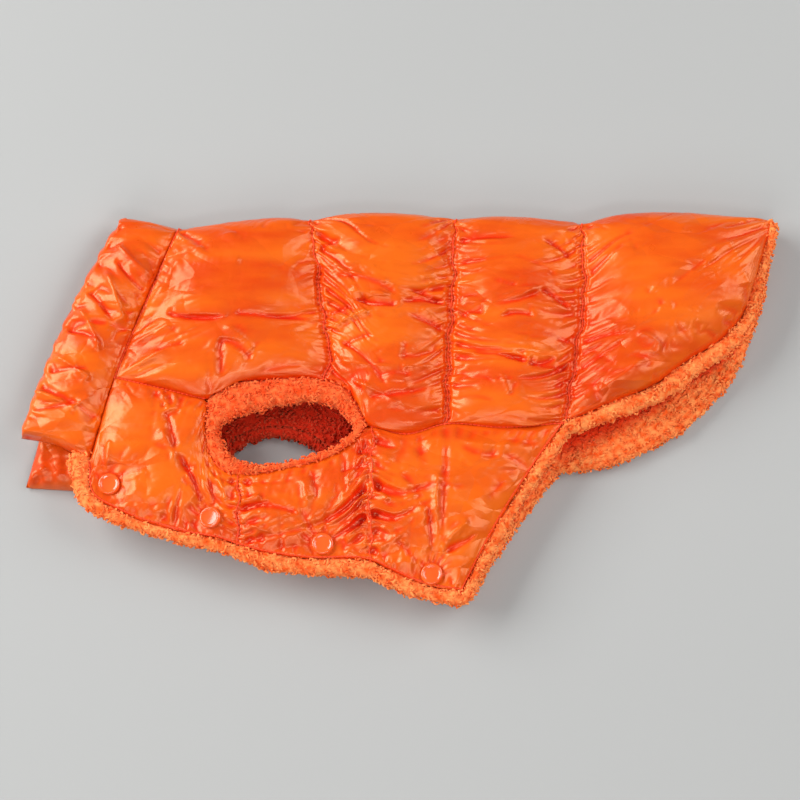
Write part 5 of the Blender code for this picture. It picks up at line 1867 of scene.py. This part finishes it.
def grown(source, name, keep_cloth, spacing, radius, seed):
    """The curls of a piece of fleece, with or without its backing, and none of them in the table."""
    settings = {"Spacing": spacing, "Curl Radius": radius, "Seed": seed}
    settings.update({"Keep Cloth": keep_cloth, "Material": FLEECE})
    made = made_real(source, name, PILE, settings)
    places = np.empty(len(made.data.vertices) * 3, np.float32)
    made.data.vertices.foreach_get("co", places)
    places[2::3] = np.maximum(places[2::3], 0.0001)
    made.data.vertices.foreach_set("co", places)
    made.data.update()
    print(f"{name}: {sum(len(f.vertices) - 2 for f in made.data.polygons)} triangles")
    return made


def fluff(grid, height, seed):
    chance = np.random.default_rng(seed)
    lumps = chance.random(grid.shape[:2]) - 0.5
    lumps[border_of(grid)] = 0
    return grid + normals_of(grid) * lumps[..., None] * height


print("a curl is", 2000 * CURL_RADIUS, "mm across at most, before its random size")

# %% [markdown]
# ### The linings
#
# Each lining lies one seam gap inside its shell. The back's is one sheet over the spine, with no
# channels. Pile grows only where it can be seen, and is painted redder and darker, as shade, the deeper it
# lies inside the coat.

# %% Lining of the back
BACK_PILE = {"spacing": 0.0019, "radius": 0.0015}
TAIL_X = 75.0  # the lining is seen behind this place and ahead of the next
NECK_X = -128.0


def wall_points(outer, inner):
    """All the points of a wall in the order of its mesh, and a mark on those of its inner face."""
    points = np.concatenate([outer.reshape(-1, 3), inner.reshape(-1, 3)])
    return points, np.arange(len(points)) >= outer.size // 3


def back_inset(u, extra):
    knots = [BACK.place(n) for n in ("neck seam", "channel 1", "channel 2", "channel 3", "tail edge")]
    wall = np.zeros_like(u)
    for a, b in zip(knots, knots[1:]):
        share = np.clip((u - a) / (b - a), 0, 1)
        here = 2.8 * rise(np.minimum(share, 1 - share), 0.5)
        wall = np.where((u >= a) & (u <= b), here, wall)
    return SEWN + wall + extra


def back_layer(extra, top, low, near_steps, far_steps, folds):
    u = np.linspace(0, 1, 150)
    heights = level(len(u), top), level(len(u), low)
    rows = np.linspace(0, 1, near_steps), turns_of(folds), np.linspace(0, 1, far_steps)
    grid = hairpin(BACK.at(u), back_inset(u, extra), *heights, *rows)
    grid[:, 0] = on_neck_seam(grid[:, 0], 1)
    ahead = (u < BACK.place("channel 3"))[:, None]
    for side, k in (("near", 0), ("far", -1)):
        grid[k] = np.where(ahead, sewn(grid[k], side, True), grid[k])
    return grid


def near_tail_edge(x):
    edge = BACK.at(np.linspace(BACK.place("channel 3"), 1, 30))[1]
    order = np.argsort(edge[:, 0])
    return np.interp(x, edge[order, 0], edge[order, 1])


def mark_back_pile(made, points, inside):
    x, y, z = points.T
    tail = ease((x - TAIL_X) / 20.0) * (y < 75)
    leg = (np.hypot((x + 66) / 62, (y + 15) / 52) < 1) * 1.0
    neck = (x < NECK_X) * 1.0
    low_side = np.where(z < 12, 1.0, 0.45)
    set_values(made, "pile", inside * np.maximum(np.maximum(tail, leg), neck) * low_side)
    # painted shade, stored as deep: full ahead of TAIL_X, a little at the neck, and behind TAIL_X a band
    # under the near tail flap that fades away below it
    below = near_tail_edge(x) - y
    fading = 0.8 * ease(1 - (below - 8.5) / (8.0 + 10.0 * ease((150 - x) / 45)))
    shade = np.where(x > TAIL_X, fading, 1.0)
    set_values(made, "deep", np.where(neck > 0, 0.3, shade))


def make_lining_back():
    outer = back_layer(SEAM_GAP, NEAR_SHELL_Z - SEAM_GAP, FAR_LINING_Z, 10, 10, 5)
    inner = fluff(back_layer(SEAM_GAP + LINING, NEAR_LINING_Z, FAR_TOP_Z, 45, 55, 7), 1.3, 21)
    made = closed_wall("fleece_back", outer, inner, FLEECE)
    mark_back_pile(made, *wall_points(outer, inner))
    pile = grown(made, "pile_back", False, **BACK_PILE, seed=5)
    stands_for(made, "lining_back")
    stands_for(pile)


make_lining_back()

# %% [markdown]
# The near flap's lining is hidden but for its hem, so it needs no pile. The far panel's lining shows
# through the leg hole and behind the near flap.

# %% Linings of the belly
def make_lining_near():
    ends = BELLY_NEAR.at(np.linspace(0, 1, 120))
    outer = sew_flap(flap_rows(ends, np.linspace(1, 0, 8), NEAR_SHELL_Z - SEAM_GAP))
    inner = sew_flap(flap_rows(ends, np.linspace(1, 0, 26), NEAR_LINING_Z))
    made = closed_wall("fleece_belly_near", outer, inner, FLEECE)
    stands_for(made, "lining_belly_near")


def make_lining_far():
    inset = INSIDE_INSET + SEAM_GAP
    outer = far_panel(inset, FAR_LINING_Z, LAP_LINING_TOP_Z, 120, 5)
    inner = far_panel(inset + LAP_LINING, FAR_TOP_Z, LAP_LINING_Z, 120, 5)
    made = closed_wall("fleece_belly_far", outer, inner, FLEECE)
    points, inside = wall_points(outer, inner)
    x, y, z = points.T
    leg = np.hypot((x + 66) / 58, (y + 20) / 48) < 1
    set_values(made, "pile", inside * (z < 9) * (leg | (x > 60)))
    # painted shade: full where it shows through the leg hole, a little behind the near flap
    set_values(made, "deep", np.where(x > 60, 0.3, 1.0))
    pile = grown(made, "pile_belly_far", False, **BACK_PILE, seed=6)
    stands_for(made, "lining_belly_far")
    stands_for(pile)


make_lining_near()
make_lining_far()

# %% [markdown]
# ## Rolled hems and leg rings
#
# At every free edge the lining is turned over the shell as a soft roll: a tube swept along the edge,
# lumpy and covered in curls. Its rings of points stand at stations: a point of the seam, two directions,
# a width and a height.

# %% Sizes of the rolls
ROLL_HEIGHT_NEAR = 7.8
ROLL_HEIGHT_FAR = 7.4
RING_HEIGHT = 9.6
ROLL_NEAR_Z = NEAR_LINING_Z + ROLL_HEIGHT_NEAR / 2 - 0.2
ROLL_FAR_Z = ROLL_HEIGHT_FAR / 2 + 0.05
TAIL_ROLL_NEAR = (8.0, 10.0, 11.0, 9.0, 6.0, 4.5)  # widths, evenly spaced along the edge
TAIL_ROLL_FAR = (6.0, 6.0, 7.0, 7.0, 6.0, 4.5)
SNAPPED_ROLL = (13.0, 6.0, 7.0, 9.5, 10.0, 8.5, 8.0)
REAR_ROLL = 7.0
TUBE_SIDES = 12
UP = np.array([0.0, 0.0, 1.0])


def is_near(upward):
    return upward[2] > 0.5


def tube_rings(stations, seed):
    chance = np.random.default_rng(seed)
    rings = []
    for number, (point, outward, upward, width, height) in enumerate(stations):
        swell = 1 + 0.13 * math.sin(number * 0.9 + seed) * math.sin(number * 0.37)
        overlap = 0.6 if is_near(upward) else 2.6
        for k in range(TUBE_SIDES):
            angle = 2 * math.pi * (k + 0.5) / TUBE_SIDES
            lump = 1 + 0.16 * (chance.random() - 0.5)
            out = width / 2 * (1 - math.cos(angle) * lump * swell) - overlap
            rings.append(point + outward * out + upward * height / 2 * math.sin(angle) * lump * swell)
    points = np.array(rings)
    points[:, 2] = np.maximum(points[:, 2], ABOVE_TABLE)
    return points


def tube_faces(count, closed):
    faces = []
    for k in range(count if closed else count - 1):
        a = k * TUBE_SIDES
        b = (k + 1) % count * TUBE_SIDES
        for j in range(TUBE_SIDES):
            n = (j + 1) % TUBE_SIDES
            faces.append((a + j, a + n, b + n, b + j))
    if not closed:
        faces.append(tuple(range(TUBE_SIDES))[::-1])
        faces.append(tuple(range((count - 1) * TUBE_SIDES, count * TUBE_SIDES)))
    return faces


def fleece_tube(name, stations, solid, seed, closed=False, deep=0.0):
    points = tube_rings(stations, seed)
    core = add_object(name + "_core", points, tube_faces(len(stations), closed), FLEECE)
    mesh = bmesh.new()
    mesh.from_mesh(core.data)
    bmesh.ops.recalc_face_normals(mesh, faces=mesh.faces)
    mesh.to_mesh(core.data)
    mesh.free()
    set_values(core, "pile", np.where(points[:, 2] < 1.2, 0.0, 1.0))
    set_values(core, "deep", np.full(len(points), deep))
    made = grown(core, name, True, spacing=0.0017, radius=CURL_RADIUS, seed=seed)
    bpy.data.objects.remove(core)
    stands_for(made, solid)

# %% [markdown]
# ### One walk round the coat
#
# The hem is one walk: along the snapped edge, up the rear edge, along the tail, over the spine and back
# below. Worked out in one go, the directions at its corners are mitred, and neighbouring rolls meet.

# %% The near half of the walk
def belly_walk():
    snapped = belly_grid[0][::4]
    tucked = snapped[0] + [1.5, 9.0, 0.0]
    walk = [
        ("belly", [*tucked[:2], ROLL_NEAR_Z - 1.0], UP, 9.0),
        ("belly", [*(tucked[:2] * 0.5 + snapped[0][:2] * 0.5), ROLL_NEAR_Z - 0.5], UP, 12.0),
    ]
    for k, point in enumerate(snapped):
        place = k / (len(snapped) - 1) * (len(SNAPPED_ROLL) - 1)
        width = np.interp(place, range(len(SNAPPED_ROLL)), SNAPPED_ROLL)
        walk.append(("belly", [*point[:2], ROLL_NEAR_Z], UP, width))
    for point in belly_grid[1:, -1][::4]:
        walk.append(("belly", [*point[:2], ROLL_NEAR_Z], UP, REAR_ROLL))
    return walk


def tail_walk():
    begin = BACK.place("channel 3")
    u = np.concatenate([[0.0], np.linspace(0.03, 1, 46)])
    ends = BACK.at(begin + (1 - begin) * u)
    knots = np.linspace(0, 1, 6)
    walk = []
    for k, share in enumerate(u):
        walk.append(("tail", [*ends[1][k], ROLL_NEAR_Z], UP, np.interp(share * 0.8, knots, TAIL_ROLL_NEAR)))
    steps = np.linspace(0, 1, 14)[1:]
    heights = level(1, ROLL_NEAR_Z), level(1, ROLL_FAR_Z)
    middle = hairpin([part[-1:] for part in ends], 3.7, *heights, steps, turns_of(10), steps)[:, 0]
    for k, point in enumerate(middle):
        turn = np.clip((k - len(steps) + 1) / 11, 0, 1) * math.pi
        to_tip = min(k, len(middle) - 1 - k) / (len(middle) / 2)
        widths = TAIL_ROLL_NEAR if k < len(middle) / 2 else TAIL_ROLL_FAR
        normal = np.array([0.0, math.sin(turn), math.cos(turn)])
        walk.append(("tail", point, normal, np.interp(0.8 + 0.2 * to_tip, knots, widths)))
    for k in range(len(u))[::-1]:
        walk.append(("tail", [*ends[2][k], ROLL_FAR_Z], -UP, np.interp(u[k] * 0.8, knots, TAIL_ROLL_FAR)))
    return walk


print("near half of the hem:", len(belly_walk()), "stations on the belly,", len(tail_walk()), "on the tail")

# %% [markdown]
# The far rear edge ends where the fold begins. The direction away from the cloth at a station is the
# sum of the directions of the walk before it and after it, each turned a quarter.

# %% The rest of the walk, and its hems
def far_walk():
    top, near, _, bow = BELLY_FAR.at([1.0])
    length = np.linalg.norm(near[0] - top[0])
    walk = []
    for share in np.linspace(0, 1 - 7.45 / length, 34):
        plan = down_rib(top, near, bow, np.array([length * (1 - share)]))[0]
        walk.append(("rear far", [*plan, ROLL_FAR_Z], -UP, REAR_ROLL))
    return walk


def outward_of(points, upward):
    """Mitred directions away from the cloth along a walk with the cloth on its left."""
    found = []
    for k, point in enumerate(points):
        total = np.zeros(3)
        for others, way in ((points[:k][::-1], -1), (points[k + 1 :], 1)):
            gaps = np.linalg.norm(others[:40] - point, axis=1) if len(others) else np.zeros(0)
            far = np.flatnonzero(gaps > 2.0)
            if len(far):
                run = way * (others[far[0]] - point)
                total += np.cross(run / np.linalg.norm(run), upward[k])
        found.append(total / np.linalg.norm(total))
    return np.array(found)


def make_hems():
    walk = belly_walk() + tail_walk() + far_walk()
    points = np.array([step[1] for step in walk], float)
    upward = np.array([step[2] for step in walk], float)
    stations = {}
    for (part, _, way_up, width), point, outward in zip(walk, points, outward_of(points, upward)):
        height = ROLL_HEIGHT_NEAR if is_near(way_up) else ROLL_HEIGHT_FAR
        stations.setdefault(part, []).append((point, outward, way_up, width, height))
    fleece_tube("hem_belly", stations["belly"], "roll_belly_near", 31)
    fleece_tube("hem_tail", stations["tail"], "roll_tail", 32)
    fleece_tube("hem_rear_far", stations["rear far"], "roll_rear_far", 33)


make_hems()

# %% [markdown]
# ### Rings of the leg holes
#
# A ring is the same tube closed to a loop. The near one is wider at the front and has a little painted
# shade; the far one lies inside the coat and has full painted shade.

# %% Leg rings
LEAST_RING = 3.0
# painted shade on the near ring's fleece
NEAR_RING_PAINTED_SHADE = 0.42


def make_ring(name, outline, inner_reach, centre, bottom_z, height, solid, seed, deep):
    stations = []
    for place in outline:
        arm = centre - place
        length = np.linalg.norm(arm)
        inward = np.array([*(arm / length), 0.0])
        width = max(length - inner_reach(place), LEAST_RING)
        stations.append((np.array([*place, bottom_z + height / 2 + SEAM_GAP]), inward, UP, width, height))
    fleece_tube(name, stations, solid, seed, closed=True, deep=deep)


def near_reach(place):
    x, y = place[:, None]
    return reach_of(rim(RING_TABLE[:, 2:]), NEAR_RIM_CENTRE, x, y)[0]


def far_reach(place):
    return np.linalg.norm(place - FAR_HOLE_CENTRE) - 7.0


steps = np.linspace(0, len(NEAR_RIM), 84, endpoint=False)
looped = np.vstack([NEAR_RIM, NEAR_RIM[:1]])
near_outline = np.column_stack([np.interp(steps, np.arange(len(looped)), column) for column in looped.T])
make_ring("leg_ring_top", near_outline, near_reach, NEAR_RIM_CENTRE, NEAR_LINING_Z, RING_HEIGHT,
          "leg_ring_near", 41, NEAR_RING_PAINTED_SHADE)
make_ring("leg_ring_low", FAR_RIM[::2], far_reach, FAR_HOLE_CENTRE, 0.0, ROLL_HEIGHT_FAR,
          "leg_ring_far", 42, 1.0)

# %% [markdown]
# ## Snap caps
#
# A cap is turned from a profile, like a lathe part: a low dish in the middle, a raised rim and a skirt
# down to the cloth. One of the four leans with the belly it sits on.

# %% Caps
CAP_PROFILE = (
    # radius, height
    (3.6, 1.3),
    (4.3, 1.45),
    (4.8, 1.85),
    (5.3, 1.95),
    (5.8, 1.7),
    (6.2, 1.0),
    (6.25, 0.4),
    (6.0, 0.0),
)
DISH_HEIGHT = 1.25
CAP_SIDES = 40


def cap_points(lean):
    angles = 2 * math.pi * np.arange(CAP_SIDES) / CAP_SIDES
    circle = np.column_stack([np.cos(angles), np.sin(angles)])
    rings = [np.insert(circle * radius, 2, height, axis=1) for radius, height in CAP_PROFILE]
    points = np.vstack([*rings, [[0, 0, DISH_HEIGHT], [0, 0, 0]]])
    tilt = math.radians(lean)
    turned = points.copy()
    turned[:, 0] = points[:, 0] * math.cos(tilt) + points[:, 2] * math.sin(tilt)
    turned[:, 2] = -points[:, 0] * math.sin(tilt) + points[:, 2] * math.cos(tilt)
    return turned


def cap_faces():
    faces = []
    last = len(CAP_PROFILE) - 1
    top = len(CAP_PROFILE) * CAP_SIDES
    for a in range(0, last * CAP_SIDES, CAP_SIDES):
        b = a + CAP_SIDES
        for k in range(CAP_SIDES):
            n = (k + 1) % CAP_SIDES
            faces.append((a + k, b + k, b + n, a + n))
    for k in range(CAP_SIDES):
        n = (k + 1) % CAP_SIDES
        faces.append((top, k, n))
        faces.append((top + 1, last * CAP_SIDES + n, last * CAP_SIDES + k))
    return faces


for number, (x, y, lean, seat) in enumerate(SNAPS, start=1):
    place = [x, y, NEAR_SHELL_Z + seat + SEAM_GAP]
    made = add_object(f"cap_{number}", cap_points(lean) + place, cap_faces(), CAP)
    stands_for(made, f"snap_cap_{number}")
print("caps:", len(SNAPS), "of", len(cap_faces()), "faces")

# %% [markdown]
# ## Stitches
#
# A second node tree turns a line of edges into stitches: points at every stitch length, and a short
# rounded thread on each, turned along the line.

# %% A tree for stitches
def make_stitch_tree():
    tree, given = new_tree("stitches", {"Pitch": 0.0034, "Stitch": 0.0024, "Thread": 0.00032})
    line = node(tree, "GeometryNodeMeshToCurve", {"Mesh": given["Geometry"]})
    inputs = {"Curve": line.outputs["Curve"], "Length": given["Pitch"]}
    even = node(tree, "GeometryNodeResampleCurve", inputs, mode="LENGTH")
    tangent = node(tree, "GeometryNodeInputTangent", {})
    turn = node(tree, "FunctionNodeAlignRotationToVector", {"Vector": tangent.outputs["Tangent"]}, axis="Z")
    thread = node(tree, "GeometryNodeMeshUVSphere", {"Segments": 6, "Rings": 5, "Radius": 1.0})
    half = node(tree, "ShaderNodeMath", {0: given["Stitch"], 1: 0.5}, operation="MULTIPLY")
    inputs = {"X": given["Thread"], "Y": given["Thread"], "Z": half.outputs[0]}
    size = node(tree, "ShaderNodeCombineXYZ", inputs)
    inputs = {"Points": even.outputs["Curve"], "Instance": thread.outputs["Mesh"]}
    inputs.update({"Rotation": turn.outputs["Rotation"], "Scale": size.outputs["Vector"]})
    place = node(tree, "GeometryNodeInstanceOnPoints", inputs)
    return finish_tree(tree, place.outputs["Instances"], given["Material"])


STITCHES = make_stitch_tree()
STITCH = {"Pitch": 0.0024, "Stitch": 0.0027, "Thread": 0.00042, "Material": THREAD}
print("stitch nodes:", len(STITCHES.nodes))

# %% [markdown]
# The lines to sew along are rows and columns of the panels' own grids, so every stitch lies on its cloth.

# %% Sewing
def sew(name, line, lift):
    points = np.asarray(line, float).copy()
    points[:, 2] += lift
    mesh = bpy.data.meshes.new(name + "_line")
    edges = [(k, k + 1) for k in range(len(points) - 1)]
    mesh.from_pydata(((points + SHIFT) * MM).tolist(), edges, [])
    source = add_to_scene(name + "_line", mesh)
    made = made_real(source, name, STITCHES, STITCH)
    bpy.data.objects.remove(source)
    made.data.shade_smooth()
    stands_for(made)
    print(f"{name}: {len(made.data.polygons)} faces")


def first_column(node_name):
    column = back[node_name][:, 0]
    return column[column[:, 2] > FAR_TOP_Z]


for number, section in enumerate(("back_mid_front", "back_mid_rear", "back_tail"), start=1):
    sew(f"channel_stitches_{number}", first_column(section), 0.35)
sew("neck_stitches", first_column("back_shoulder"), 0.3)
sew("snapped_edge_stitches", belly_grid[2], 0.25)
sew("rear_edge_stitches", belly_grid[:, -3], 0.25)
seam = belly_grid[-1]
sew("side_stitches_front", seam[seam[:, 0] < NEAR_SIDE_SEAM[1][0]], 0.35)
sew("side_stitches_rear", seam[seam[:, 0] > NEAR_SIDE_SEAM[2][0]], 0.35)
for number, place in enumerate(GATHER_LINES, start=1):
    columns = np.linspace(0, 1, belly_grid.shape[1])
    nearest = int(np.argmin(np.abs(columns - BELLY_NEAR.place(place))))
    sew(f"gather_stitches_{number}", belly_grid[:, nearest], 0.15)

# %% [markdown]
# ## Floor, light and camera
#
# The coat lies on a pale matt table. Glossy cloth shows each light as a reflection, so they are large
# and soft: one big window from the upper left draws the folds, and three weaker ones fill the rest.

# %% Floor
def make_floor():
    corners = [(-3, -3, 0), (3, -3, 0), (3, 3, 0), (-3, 3, 0)]
    mesh = bpy.data.meshes.new("floor")
    mesh.from_pydata(corners, [], [(0, 1, 2, 3)])
    material, tree, shader = new_material("pale_table")
    feed(tree, shader, {"Base Color": (0.385, 0.387, 0.38, 1), "Roughness": 0.8})
    mesh.materials.append(material)
    return add_to_scene("floor", mesh)


make_floor()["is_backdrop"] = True

# %% [markdown]
# Every light is a rectangle that looks at the middle of the table. Its size matters as much as its
# power: it is the size of the highlight on a fold.

# %% Lights
LIGHTS = (
    # name, place, width, height, power
    ("window", (-1.5, 0.55, 1.05), 1.7, 1.1, 50),
    ("side", (1.3, 0.5, 1.0), 1.2, 1.2, 19),
    ("front", (-0.3, -1.4, 1.0), 1.3, 0.7, 10),
    ("lamp", (0.3, -0.8, 1.3), 0.7, 0.25, 5),
)
for name, place, width, height, power in LIGHTS:
    data = bpy.data.lights.new(name, "AREA")
    data.shape = "RECTANGLE"
    data.size = width
    data.size_y = height
    data.energy = power
    light = add_to_scene(name, data)
    light.location = place
    light.rotation_euler = (-Vector(place)).to_track_quat("-Z", "Y").to_euler()
world = bpy.data.worlds.new("room")
bpy.context.scene.world = world
world.use_nodes = True
room = world.node_tree.nodes["Background"]
feed(world.node_tree, room, {"Color": (0.95, 0.97, 1.0, 1), "Strength": 0.16})
print("lights:", [row[0] for row in LIGHTS], "and the room")

# %% [markdown]
# The camera looks steeply down from the belly's side, through a long lens, so the coat keeps its plan
# shape and still shows the height of its padding.

# %% Camera
ELEVATION = math.radians(75)
DISTANCE = 1.5
AIM_HEIGHT = 15.0
SENSOR = 36.0
FRAME = 800  # the frame's side in pixels: the focal length and the shift are counted in them
FOCAL = 2586
SHIFT_UP = 12

target = np.array([SHIFT[0], SHIFT[1], AIM_HEIGHT]) * MM
camera_data = bpy.data.cameras.new("camera")
camera_data.lens = SENSOR * FOCAL / FRAME
camera_data.sensor_width = SENSOR
camera_data.shift_y = SHIFT_UP / FRAME
camera = add_to_scene("camera", camera_data)
camera.location = target + DISTANCE * np.array([0.0, -math.cos(ELEVATION), math.sin(ELEVATION)])
camera.rotation_euler = (math.pi / 2 - ELEVATION, 0.0, 0.0)
bpy.context.scene.camera = camera
bpy.context.scene.view_settings.view_transform = "Standard"
print("lens:", round(camera_data.lens, 1), "mm")

# %% [markdown]
# ## Finish
#
# The last cell measures the dressed coat, and prints its box and the solids' box.

# %% Measure
visual_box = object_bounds()
for label, (low, high) in (("CAD box", cad_box), ("visual box", visual_box)):
    print(label, [round((b - a) / MM, 1) for a, b in zip(low, high)], "mm")
print("simulation", round(sum(sim_clock), 1), "s; whole script", round(time.time() - started, 1), "s")
